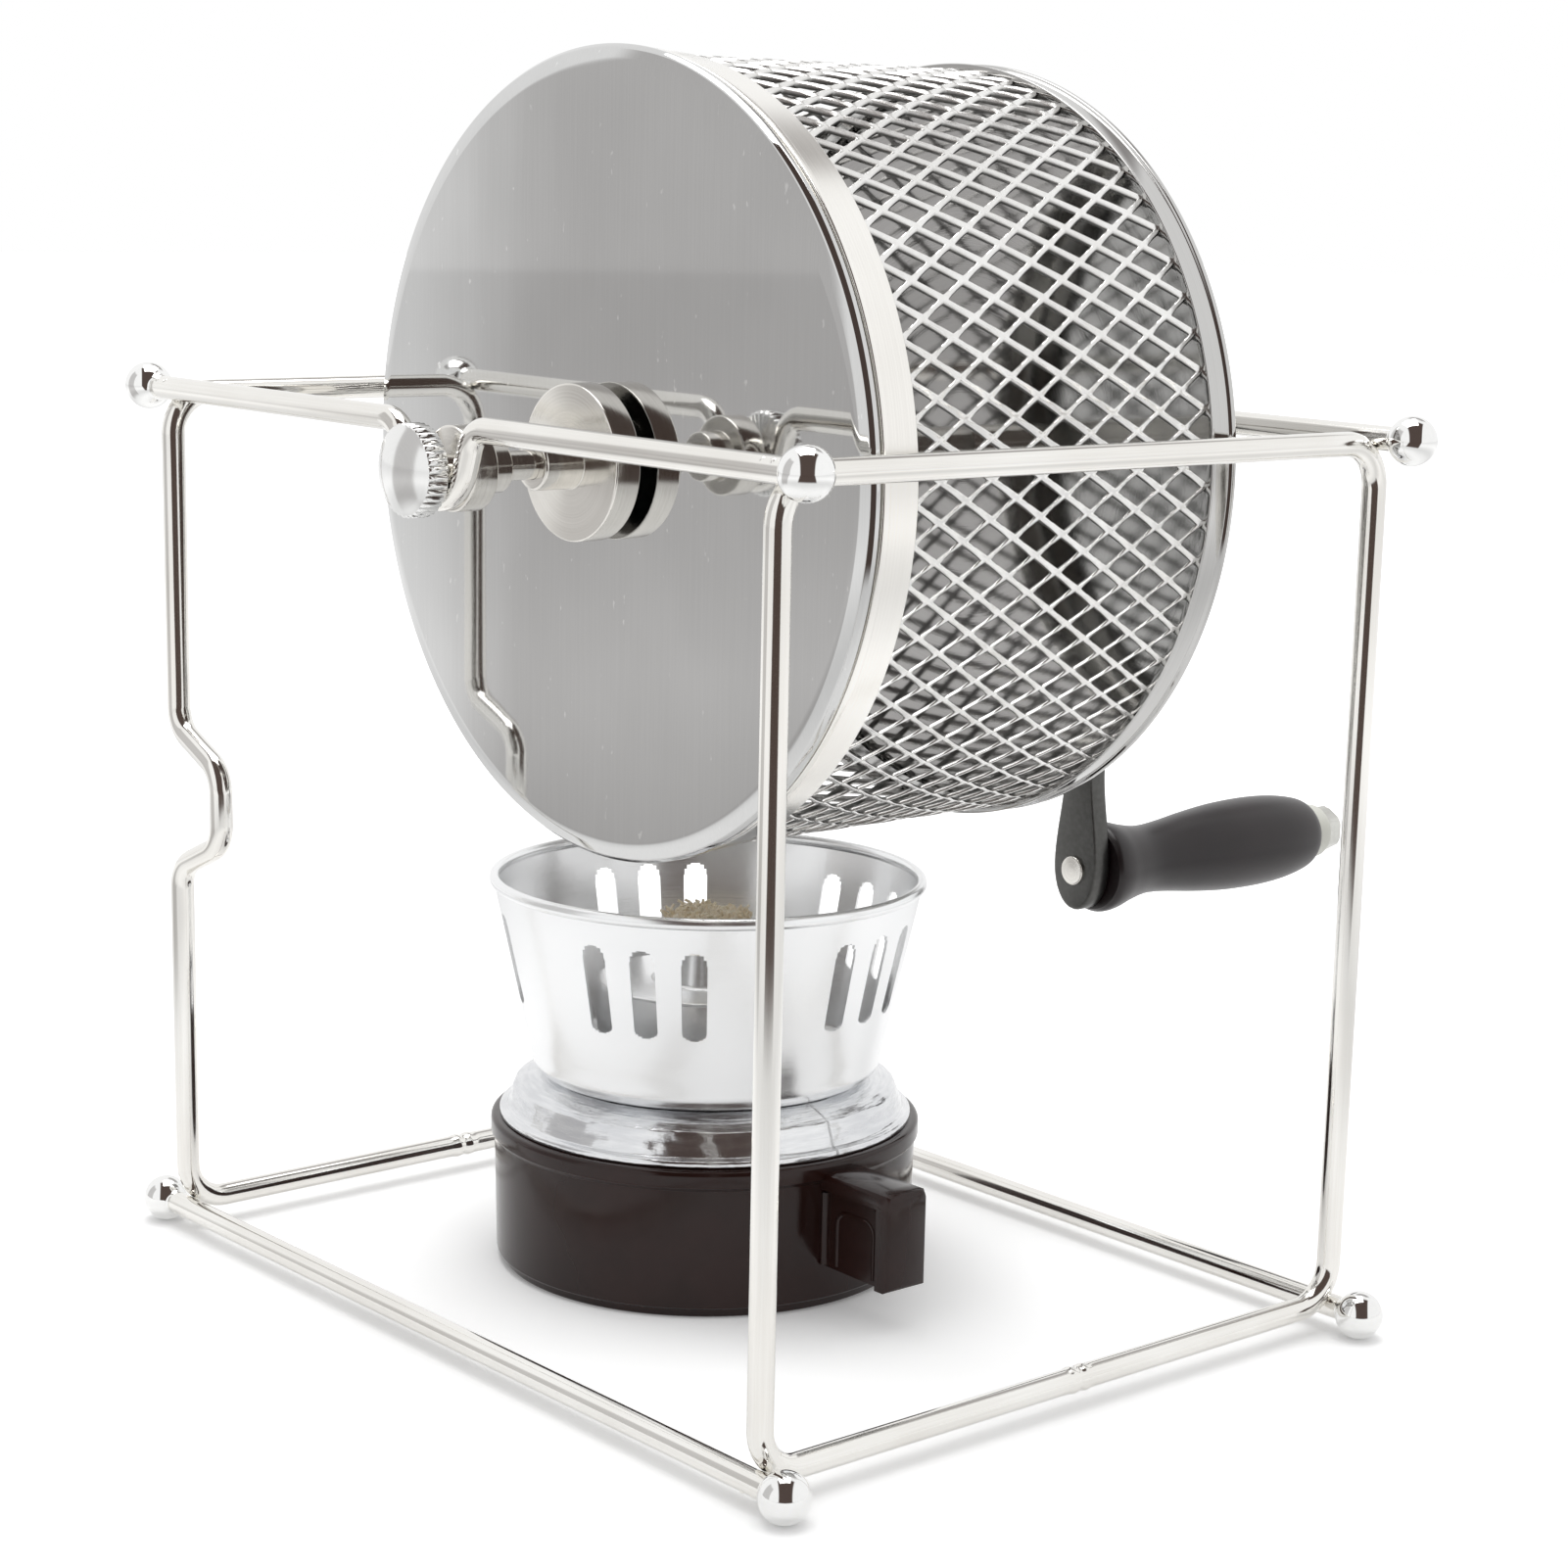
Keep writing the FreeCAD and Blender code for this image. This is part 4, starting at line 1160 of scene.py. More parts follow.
@dataclass
class LidAndNuts(OnAxle):
    """The lid, the clamp nut that holds it and the thumb nut at the axle's end."""

    rim_w: float = 3.4
    rim_drop: float = 0.85
    bore: float = 2.95
    stand_off_r: float = 9.0
    stand_off_w: float = 2.1
    disc_r: float = 15.6
    disc_w: float = 5.9
    boss_r: float = 5.1
    boss_w: float = 9.2
    thumb_y: float = -81.2
    thumb_r: float = 9.0
    thumb_w: float = 4.8
    dome: float = 2.2
    teeth: int = 36
    tooth: float = 0.55

    def lid(self) -> None:
        """Build the pressed lid."""
        y = self.front_y
        corners = [
            (self.bore, y, 0),
            (self.lid_r - self.rim_w, y, 6.0),
            (self.lid_r - 0.7, y + self.rim_drop, 0.9),
            (self.lid_r, y + self.rim_drop + 0.9, 0.5),
            (self.lid_r, y + self.lid_depth, 0.3),
            (self.lid_r - self.sheet, y + self.lid_depth, 0.3),
            (self.lid_r - self.sheet, y + self.rim_drop + self.sheet + 0.4, 0.4),
            (self.lid_r - self.rim_w, y + self.sheet, 1.0),
            (self.bore, y + self.sheet, 0),
        ]
        outline = eased(corners, 8)
        Piece("lid_pressed", "lid", SHEET, ("lid",)).make(turned(outline, self.line, Axis.Y, 288))

    def clamp_nut(self) -> None:
        """Build the clamp nut."""
        back = self.front_y - self.stand_off_w
        front = back - self.disc_w
        tip = front - self.boss_w
        corners = [
            (self.bore, tip, 0),
            (self.boss_r, tip, 0.9),
            (self.boss_r, front, 0.2),
            (self.disc_r, front, 0.55),
            (self.disc_r, back, 0.35),
            (self.stand_off_r, back, 0.1),
            (self.stand_off_r, self.front_y, 0),
            (self.bore, self.front_y, 0),
        ]
        Piece("clamp_nut_turned", "clamp_nut", TURNED, ("clamp_nut",)).turn(corners, self.line, Axis.Y, 128)

    def thumb_nut(self) -> None:
        """Build the domed thumb nut with its straight knurl."""
        front = self.thumb_y - self.thumb_w
        crown = front - self.dome
        outline = [
            (self.bore, self.thumb_y - 4.5),
            (self.bore, self.thumb_y),
            (self.thumb_r - 0.7, self.thumb_y),
            (self.thumb_r, self.thumb_y - 0.5),
            (self.thumb_r, front + 0.5),
            (self.thumb_r - 0.35, front + 0.1),
        ]
        for k in range(15):
            share = 1.0 - k / 14
            outline.append(((self.thumb_r - 0.6) * share, crown + self.dome * share**2))

        def knurl(r: float, s: float, angle: float) -> tuple[float, float]:
            """Cut the teeth into the rim.

            Args:
                r: Radius of a point of the outline.
                s: Its station.
                angle: The angle it is turned to.

            Returns:
                The radius and station it moves to.
            """
            if r < self.thumb_r - 0.1:
                return r, s
            wave = abs((angle * self.teeth / math.tau) % 1.0 - 0.5) * 2
            return r - self.tooth * wave**1.5, s

        shape = turned(outline, self.line, Axis.Y, self.teeth * 8, False, knurl)
        Piece("thumb_nut_knurled", "thumb_nut", NUT, ("thumb_nut",), 50).make(shape)

    def build(self) -> None:
        """Build the lid and both nuts."""
        self.lid()
        self.clamp_nut()
        self.thumb_nut()


@dataclass
class Crank(OnAxle):
    """The crank arm with its grip, bolt, washer and nuts."""

    radius: float = 100.0
    eye_r: float = 9.5
    waist_half: float = 4.3
    waist_rise: float = 24.0
    pad_half: float = 6.8
    pad_drop: float = 9.4
    bolt_r: float = 3.0
    head_r: float = 3.4
    head_w: float = 0.9
    grip_length: float = 74.0
    gap: float = 0.3
    washer_r: float = 6.6
    washer_w: float = 4.2
    nut_af: float = 10.0
    edge: float = 0.7

    @property
    def grip_line(self) -> Vector:
        """A point of the grip's line."""
        return Vector((0, 0, self.axle_z - self.radius))

    def outline(self) -> list[tuple[float, float]]:
        """Give the arm's outline in X and Z, all the way round.

        Returns:
            The outline's points, in order.
        """
        eye, pad = self.axle_z, self.axle_z - self.radius
        waist = pad + self.waist_rise
        knots = [
            (self.eye_r, eye),
            (self.waist_half + 1.6, (eye + waist) / 2),
            (self.waist_half, waist),
            (self.pad_half, pad + 1),
        ]
        flank = []
        for i in range(3):
            (x0, z0), (x1, z1) = knots[i], knots[i + 1]
            for k in range(12):
                t = k / 12
                ease = t * t * (3 - 2 * t)
                flank.append((x0 + (x1 - x0) * ease, z0 + (z1 - z0) * t))
        foot = []
        for k in range(17):
            angle = math.pi * k / 16
            foot.append((self.pad_half * math.cos(angle), pad + 1 - (self.pad_drop + 1) * math.sin(angle)))
        top = []
        for k in range(1, 24):
            angle = math.pi * k / 24
            top.append((-self.eye_r * math.cos(angle), eye + self.eye_r * math.sin(angle)))
        left = [(-x, z) for x, z in reversed(flank)]
        return flank + foot + left[:-1] + [(-self.eye_r, eye)] + top

    def arm(self) -> None:
        """Build the flat arm with its worn, rounded edges."""
        outline = self.outline()
        count = len(outline)
        shape = Shape()
        edge = self.edge
        rings = ((edge, 0.0), (edge * 0.35, edge * 0.25), (0.0, edge), (0.0, self.arm_t - edge),
                 (edge * 0.35, self.arm_t - edge * 0.25), (edge, self.arm_t))
        for inset, depth in rings:
            for i, (x, z) in enumerate(outline):
                before, after = Vector(outline[i - 1]), Vector(outline[(i + 1) % count])
                along = (after - before).normalized()
                inward = Vector((-along.y, along.x))
                centre = Vector((0, min(max(z, self.axle_z - self.radius), self.axle_z)))
                if inward.dot(centre - Vector((x, z))) < 0:
                    inward = -inward
                place = Vector((x, z)) + inward * inset
                shape.points.append(Vector((place.x, self.arm_y + depth, place.y)))
                shape.lay.append((x, z, depth))
        shape.grid(len(rings), count, False)
        shape.caps(count)
        Piece("crank_arm_flat", "drum", ARM_STEEL, ("crank_arm",), 50).make(shape)

    def grip(self) -> None:
        """Build the turned grip."""
        start = self.arm_y + self.arm_t + self.gap
        knots = [
            (9.77, 0.0), (10.6, 0.02), (10.42, 0.06), (9.3, 0.12), (8.3, 0.19), (8.1, 0.25), (8.57, 0.33),
            (9.6, 0.44), (10.5, 0.56), (10.85, 0.67), (10.8, 0.77), (10.31, 0.86), (9.3, 0.94),
            (8.2, 0.98), (6.4, 1.0),
        ]
        outline = [(3.05, start)]
        for i in range(len(knots) - 1):
            p0, p1 = knots[max(i - 1, 0)], knots[i]
            p2, p3 = knots[i + 1], knots[min(i + 2, len(knots) - 1)]
            for k in range(5):
                t = k / 5
                r, s = (
                    b + 0.5 * t * ((c - a) + t * (2 * a - 5 * b + 4 * c - d + t * (3 * b - a - 3 * c + d)))
                    for a, b, c, d in zip(p0, p1, p2, p3)
                )
                outline.append((r, start + s * self.grip_length))
        outline += [(knots[-1][0], start + self.grip_length), (3.05, start + self.grip_length)]
        Piece("grip_turned", "grip", GRIP, ("grip",), 50).make(turned(outline, self.grip_line, Axis.Y, 96))

    def hardware(self) -> None:
        """Build the bolt, the nylon washer and both nuts."""
        grip_end = self.arm_y + self.arm_t + self.gap + self.grip_length
        washer = grip_end + self.gap
        nut = washer + self.washer_w
        head = self.arm_y - self.head_w
        bolt = [
            (0, head, 0),
            (self.head_r, head, 0.5),
            (self.head_r, self.arm_y, 0),
            (self.bolt_r, self.arm_y, 0),
            (self.bolt_r, nut + self.nut_w - 1, 0.5),
            (0, nut + self.nut_w - 1, 0),
        ]
        piece = Piece("grip_bolt_riveted", "drum", TURNED, ("grip_bolt",))
        piece.turn(bolt, self.grip_line, Axis.Y, 48, False)
        ring = [
            (self.bolt_r + FIT, washer, 0),
            (self.washer_r, washer, 0.4),
            (self.washer_r, nut, 1.2),
            (self.bolt_r + FIT, nut, 0),
        ]
        Piece("end_washer_nylon", "drum", NYLON, ("end_washer",)).turn(ring, self.grip_line, Axis.Y, 64)
        self.nut("end_nut", nut, self.grip_line, self.bolt_r)
        self.nut("crank_nut", self.arm_y + self.arm_t, self.line, self.neck_r)

    def nut(self, name: str, start: float, line: Vector, bore: float) -> None:
        """Build a hex nut with a chamfered end.

        Args:
            name: The CAD node that it stands for.
            start: Where its seat is along Y.
            line: A point of its axis.
            bore: Radius of its thread.
        """
        flat = self.nut_af / 2

        def hexagon(r: float, s: float, angle: float) -> tuple[float, float]:
            """Pull the round section in to the flats.

            Args:
                r: Radius of a point of the outline.
                s: Its station.
                angle: The angle it is turned to.

            Returns:
                The radius and station it moves to.
            """
            if r < flat * 0.8:
                return r, s
            sector = (angle + math.pi / 6) % (math.pi / 3) - math.pi / 6
            return min(r, flat / math.cos(sector)), s

        tall = self.nut_w
        outline = [
            (bore + FIT, start),
            (flat * 1.16, start),
            (flat * 1.16, start + tall - 0.9),
            (flat * 1.06, start + tall - 0.25),
            (flat * 0.96, start + tall),
            (bore + 0.5, start + tall),
            (bore + FIT, start + tall - 0.4),
        ]
        shape = turned(outline, line, Axis.Y, 96, True, hexagon)
        Piece(f"{name}_hex", "drum", ZINC, (name,), 25).make(shape)

    def build(self) -> None:
        """Build the whole crank."""
        self.arm()
        self.grip()
        self.hardware()


@dataclass
class Burner:
    """The spirit burner with its moulded base, cup, wick and windscreen."""

    x: float = -18.7
    y: float = 4.8
    base_r: float = 45.8
    top_r: float = 46.6
    base_h: float = 29.0
    wall: float = 2.6
    lip_r: float = 47.1
    lip_h: float = 3.6
    tab_reach: float = 67.3
    tab_half: float = 5.6
    tab_low: float = 9.2
    tab_high: float = 30.6
    tab_recess: float = 1.3
    tab_bar: float = 4.5
    spun: float = 0.6
    fold: float = 0.26
    small_fold: float = 0.12
    bead_r: float = 45.2
    shoulder_r: float = 39.5
    neck_r: float = 35.0
    rise: float = 9.6
    cup_r: float = 24.0
    cup_top: float = 62.0
    holder_r: float = 10.6
    holder_h: float = 8.0
    wick_r: float = 9.6
    wick_top: float = 79.5
    strands: int = 240
    strand_r: float = 0.32
    strand_lean: float = 1.6
    strand_curl: float = 0.35
    strand_tall: tuple[float, float] = (2.6, 4.2)
    screen_t: float = 0.8
    screen_top: float = 86.4
    screen_mid: float = 68.0
    screen_r: float = 46.8
    foot_r: float = 38.4
    foot_rise: float = 4.6
    hole_r: float = 31.0
    roll_r: float = 1.3
    slot_first: float = -56.5
    slot_step: float = 14.2
    slot_w: float = 5.3
    slot_low: float = 58.9
    slot_high: float = 78.6

    @property
    def line(self) -> Vector:
        """A point of the burner's axis."""
        return Vector((self.x, self.y, 0))

    @property
    def lip_top(self) -> float:
        """Height of the base's lip."""
        return self.base_h + self.lip_h

    @property
    def neck_z(self) -> float:
        """Height of the collar's neck."""
        return self.lip_top + self.rise

    def base(self) -> None:
        """Build the moulded pot with its lip."""
        inner = self.base_r - self.wall
        corners = [
            (0, 0, 0),
            (self.base_r - 1.5, 0, 0.5),
            (self.base_r - 1.1, 1.7, 0.2),
            (self.base_r, 2.2, 0.6),
            (self.top_r - 0.3, self.base_h - 1.8, 0.4),
            (self.top_r - 0.3, self.base_h - 0.9, 0.2),
            (self.lip_r, self.base_h, 0.4),
            (self.lip_r, self.lip_top, 1.2),
            (self.bead_r - 2.2, self.lip_top, 0.2),
            (inner, self.base_h - 2, 1.0),
            (inner, self.wall, 1.0),
            (0, self.wall, 0),
        ]
        shape = turned(eased(corners, 5), self.line, Axis.Z, 192, False)
        shape.add(self.tab()).add(self.tab_ribs())
        Piece("burner_base_moulded", "burner", BROWN, ("burner_base",), 30).make(shape)

    def tab(self) -> Shape:
        """Shape the tab handle: a recessed plate with a bar along its top and outer edge.

        Returns:
            The tab.
        """
        root = self.base_r - 1.0
        shape = Shape()
        sections = (
            (root, self.tab_half - self.tab_recess, self.tab_low + 0.6),
            (self.tab_reach - self.tab_bar, self.tab_half - self.tab_recess, self.tab_low + 0.3),
            (self.tab_reach - self.tab_bar + 0.8, self.tab_half, self.tab_low),
            (self.tab_reach - 1.0, self.tab_half, self.tab_low),
            (self.tab_reach - 0.3, self.tab_half - 0.4, self.tab_low + 0.4),
            (self.tab_reach, self.tab_half - 1.0, self.tab_low + 1.0),
        )
        under = self.tab_high - self.tab_bar
        for reach, half, low in sections:
            full = self.tab_half if reach < self.tab_reach - 0.5 else half
            drop = 0.0 if reach < self.tab_reach - 0.5 else (self.tab_half - half)
            ring = [
                (-half, low), (half, low), (half, under), (full, under + 0.7),
                (full, self.tab_high - 1.6 - drop), (full - 0.5, self.tab_high - 0.5 - drop),
                (full - 1.6, self.tab_high - drop), (-full + 1.6, self.tab_high - drop),
                (-full + 0.5, self.tab_high - 0.5 - drop), (-full, self.tab_high - 1.6 - drop),
                (-full, under + 0.7), (-half, under),
            ]
            for across, z in ring:
                shape.points.append(Vector((self.x + reach, self.y + across, z)))
                shape.lay.append((reach, across, z))
        shape.grid(len(sections), len(ring), False)
        shape.caps(len(ring))
        return shape

    def tab_ribs(self) -> Shape:
        """Shape the raised arch in each recess of the tab, and the round where the tab meets the wall.

        Returns:
            Both arches and both rounds.
        """
        shape = Shape()
        side = self.tab_half - self.tab_recess
        under = self.tab_high - self.tab_bar
        near, far = self.base_r + 4.4, self.tab_reach - self.tab_bar - 1.2
        for face in (-1, 1):
            y = self.y + face * (side - 0.15)
            corners = [
                Vector((self.x + near, y, self.tab_low + 1.4)),
                Vector((self.x + near, y, under - 3.2)),
                Vector((self.x + far, y, under - 3.2)),
                Vector((self.x + far, y, self.tab_low + 1.4)),
            ]
            shape.add(tube(wire_path(corners, [3.0, 3.0]), 0.5, 10))
            foot = Vector((self.x + self.base_r + 0.4, self.y + face * side, self.tab_low + 1.0))
            tall = under - self.tab_low - 1.0
            shape.add(tube([foot + Vector((0, 0, tall * k / 6)) for k in range(7)], 1.1, 16))
        return shape

    def collar(self) -> None:
        """Build the creased aluminium collar with its flat neck round the cup."""
        z = self.lip_top
        top = self.neck_z - 0.02
        bore = self.cup_r + FIT
        shoulder = z + 0.72 * self.rise
        corners = [
            (self.bead_r - 2.0, z + 0.05, 0),
            (self.bead_r, z + 0.05, 0.5),
            (self.bead_r, z + 1.5, 0.7),
            (self.bead_r - 1.6, z + 2.0, 0.6),
            (self.shoulder_r + 2.2, shoulder, 1.0),
            (self.shoulder_r, shoulder + 1.2, 1.0),
            (self.neck_r, top, 1.0),
            (bore, top, 0.3),
            (bore, top - self.spun, 0),
            (self.neck_r, top - self.spun, 0.6),
            (self.shoulder_r, shoulder + 0.6, 0.8),
            (self.shoulder_r + 1.8, shoulder - self.spun, 0.8),
            (self.bead_r - 2.0, z + 1.2, 0.2),
        ]
        outline = eased(corners, 4)
        dense: list[tuple[float, float]] = []
        for i, (r, s) in enumerate(outline):
            r2, s2 = outline[(i + 1) % len(outline)]
            parts = max(1, round(math.dist((r, s), (r2, s2)) / 0.6))
            dense += [(r + (r2 - r) * k / parts, s + (s2 - s) * k / parts) for k in range(parts)]

        def crinkle(r: float, s: float, angle: float) -> tuple[float, float]:
            """Dent the sheet with shallow folds.

            Args:
                r: Radius of a point of the outline.
                s: Its station.
                angle: The angle it is turned to.

            Returns:
                The radius and station it moves to.
            """
            above = min(max((s - z - 1.6) / 1.5, 0.0), 1.0)
            share = above * min(max((r - self.neck_r - 1.0) / 2.5, 0.0), 1.0)
            where = Vector((math.cos(angle) * 5.0, math.sin(angle) * 5.0, s * 0.30))
            fold = noise.noise(where) * self.fold + noise.noise(where * 2.7) * self.small_fold
            return r + fold * share, s + fold * 0.5 * share

        shape = turned(dense, self.line, Axis.Z, 384, True, crinkle)
        Piece("burner_collar_crinkled", "burner", CRINKLED, ("burner_collar",), 60).make(shape)

    def cup(self) -> None:
        """Build the fuel cup and the wick holder."""
        floor = self.wall + 1
        cup = [
            (0, floor, 0),
            (self.cup_r, floor, 1.5),
            (self.cup_r, self.cup_top, 0.2),
            (self.cup_r - self.spun, self.cup_top, 0.2),
            (self.cup_r - self.spun, floor + self.spun, 1.0),
            (0, floor + self.spun, 0),
        ]
        Piece("fuel_cup_spun", "burner", SPUN, ("fuel_cup",)).turn(cup, self.line, Axis.Z, 128, False)
        bore = self.wick_r + FIT
        holder = [
            (bore, self.cup_top - self.holder_h, 0),
            (self.holder_r, self.cup_top - self.holder_h, 0.2),
            (self.holder_r, self.cup_top, 0.2),
            (self.cup_r, self.cup_top, 0.2),
            (self.cup_r, self.cup_top + self.spun, 0.3),
            (self.holder_r + 1.0, self.cup_top + self.spun, 1.0),
            (self.holder_r, self.cup_top + self.holder_h, 0.3),
            (bore, self.cup_top + self.holder_h, 0.1),
        ]
        Piece("wick_holder_spun", "wick_holder", SPUN, ("wick_holder",)).turn(holder, self.line, Axis.Z, 96)

    def wick(self) -> None:
        """Build the fibrous wick: a soft core and frayed strands at its top."""
        low = self.wall + 1 + self.spun + 1
        crown = self.wick_top - 2.4
        outline = [
            (0.0, low),
            (self.wick_r - 0.3, low),
            (self.wick_r, low + 0.5),
            (self.wick_r, crown - 5),
            (self.wick_r, crown - 3),
            (self.wick_r - 0.6, crown - 1),
            (self.wick_r - 2.5, crown),
            (0.0, crown + 0.3),
        ]

        def lumpy(r: float, s: float, angle: float) -> tuple[float, float]:
            """Make the strands of the core show.

            Args:
                r: Radius of a point of the outline.
                s: Its station.
                angle: The angle it is turned to.

            Returns:
                The radius and station it moves to.
            """
            if s < crown - 8:
                return r, s
            lump = noise.noise(Vector((math.cos(angle) * 3, math.sin(angle) * 3, r * 0.5)))
            return r * (1 - 0.03 * abs(math.sin(angle * 9))), s + lump * 0.8

        shape = turned(outline, self.line, Axis.Z, 72, False, lumpy)
        rng = random.Random(11)
        for i in range(self.strands):
            reach = self.wick_r * math.sqrt(rng.random()) * 0.93
            angle = rng.random() * math.tau
            foot = Vector((self.x + reach * math.cos(angle), self.y + reach * math.sin(angle), crown - 2.0))
            lean = Vector((rng.uniform(-1, 1), rng.uniform(-1, 1), 0)) * self.strand_lean
            tall = rng.uniform(*self.strand_tall)
            path = []
            for k in range(6):
                t = k / 5
                curl = Vector((math.sin(t * 5 + i), math.cos(t * 4 + i), 0)) * self.strand_curl * t
                path.append(foot + lean * t * t + curl + Vector((0, 0, tall * t * (1 - 0.25 * t))))
            shape.add(tube(path, self.strand_r, 6))
        Piece("wick_frayed", "wick_holder", WICK, ("wick",), 60).make(shape)

    def wall_radius(self, z: float) -> float:
        """Outer radius of the windscreen's wall at a height.

        Args:
            z: The height.

        Returns:
            The radius.
        """
        foot = self.neck_z + self.foot_rise
        share = (z - foot) / (self.screen_top - 1 - foot)
        return self.foot_r + (self.screen_r - self.foot_r) * min(max(share, 0.0), 1.0)

    def slot_angles(self) -> list[float]:
        """List the angles of the slots' middles, in order.

        Returns:
            The angles, in radians.
        """
        angles = []
        for group in range(5):
            for i in (-1, 0, 1):
                angles.append(math.radians(self.slot_first + 72 * group + self.slot_step * i))
        return sorted(a % math.tau for a in angles)

    def screen_outline(self) -> list[tuple[float, float]]:
        """Follow the windscreen's outer face from the hole in its foot up to its rim.

        Returns:
            Radius and height of each row of points.
        """
        foot = self.neck_z
        outline = [(self.hole_r, foot), (self.foot_r - 4.5, foot)]
        a = Vector((self.foot_r - 4.5, foot))
        b = Vector((self.foot_r - 0.2, foot + 0.2))
        c = Vector((self.foot_r, foot + self.foot_rise))
        for k in range(1, 9):
            t = k / 8
            place = a * (1 - t) ** 2 + b * 2 * t * (1 - t) + c * t * t
            outline.append((place.x, place.y))
        half = self.slot_w / 2
        rounds = [math.pi / 2 * k / 6 for k in range(7)]
        heights = [
            foot + self.foot_rise + 3,
            self.slot_low - 1.5,
            *(self.slot_low + half - half * math.cos(angle) for angle in rounds),
            (self.slot_low + self.slot_high) / 2,
            *(self.slot_high - half + half * math.sin(angle) for angle in rounds),
            self.slot_high + 1.5,
            self.screen_top - self.roll_r,
        ]
        return outline + [(self.wall_radius(z), z) for z in heights]

    def screen_columns(self) -> list[float]:
        """Place the columns of points round the windscreen, closest at the sides of the slots.

        Returns:
            The angles, in radians.
        """
        angles = self.slot_angles()
        radius = self.wall_radius(self.screen_mid)
        span = self.slot_w / 2 / radius
        columns: list[float] = []
        for middle, after in zip(angles, angles[1:] + [angles[0] + math.tau]):
            columns += [middle - span * math.cos(math.pi * k / 8) for k in range(9)]
            free = after - middle - 2 * span
            parts = max(2, round(free * radius / 2.5))
            columns += [middle + span + free * k / parts for k in range(1, parts)]
        return columns

    def in_slot(self, z: float, angle: float) -> bool:
        """Tell whether a place on the windscreen's wall lies in a slot.

        Args:
            z: Its height.
            angle: Its angle, in radians.

        Returns:
            True in a slot.
        """
        if z < self.slot_low or z > self.slot_high:
            return False
        half = self.slot_w / 2
        low, high = self.slot_low + half, self.slot_high - half
        off = min(abs((a - angle + math.pi) % math.tau - math.pi) for a in self.slot_angles())
        rise = max(low - z, z - high, 0.0)
        return (off * self.wall_radius(z)) ** 2 + rise**2 < half**2 * 1.02

    def windscreen(self) -> None:
        """Build the windscreen: a tapered bowl with slots, a rolled rim and a round foot."""
        outline, columns = self.screen_outline(), self.screen_columns()
        inside = []
        for i, (r, z) in enumerate(outline):
            lift = self.screen_t if i < 2 else 0.35 if i < 8 else 0.0
            inside.append((r - self.screen_t * 0.8, z + lift))
        shape = Shape()
        for r, z in outline + inside:
            for angle in columns:
                x, y = self.x + r * math.cos(angle), self.y + r * math.sin(angle)
                shape.points.append(Vector((x, y, z)))
                shape.lay.append((angle * 10, z * 1.2, z * 1.2))
        count = len(columns)
        other = len(outline) * count
        after = columns[1:] + [columns[0] + math.tau]
        cells, open_cells = [], set()
        for i in range(len(outline) - 1):
            z = (outline[i][1] + outline[i + 1][1]) / 2
            for j in range(count):
                cells.append((i, j, i * count + j, i * count + (j + 1) % count))
                if self.in_slot(z, (columns[j] + after[j]) / 2):
                    open_cells.add((i, j))
        for start in (0, other):
            for i, j, a, b in cells:
                if (i, j) not in open_cells:
                    shape.faces.append((start + a, start + b, start + b + count, start + a + count))
        for i, j, a, b in cells:
            if (i, j) not in open_cells:
                continue
            sides = (
                (a, b, (i - 1, j)),
                (a + count, b + count, (i + 1, j)),
                (a, a + count, (i, (j - 1) % count)),
                (b, b + count, (i, (j + 1) % count)),
            )
            for p, q, cell in sides:
                if cell not in open_cells:
                    shape.faces.append((p, q, q + other, p + other))
        for _, _, a, b in cells[:count]:
            shape.faces.append((a, b, b + other, a + other))
        roll = [
            (self.screen_r - 0.4 + (self.roll_r - 0.2) * math.cos(math.tau * k / 16),
             self.screen_top - self.roll_r + self.roll_r * math.sin(math.tau * k / 16))
            for k in range(16)
        ]
        shape.add(turned(roll, self.line, Axis.Z, 192))
        Piece("windscreen_slotted", "windscreen", SPUN, ("windscreen",), 40).make(shape)

    def build(self) -> None:
        """Build the whole burner."""
        self.base()
        self.collar()
        self.cup()
        self.wick()
        self.windscreen()


@dataclass(frozen=True)
class Gap:
    """A dim part of the room that shows in polished metal, between the paper and the soft boxes."""

    azimuth: float
    half_width: float
    low: float
    high: float
    depth: float
    soft: float = 4.0


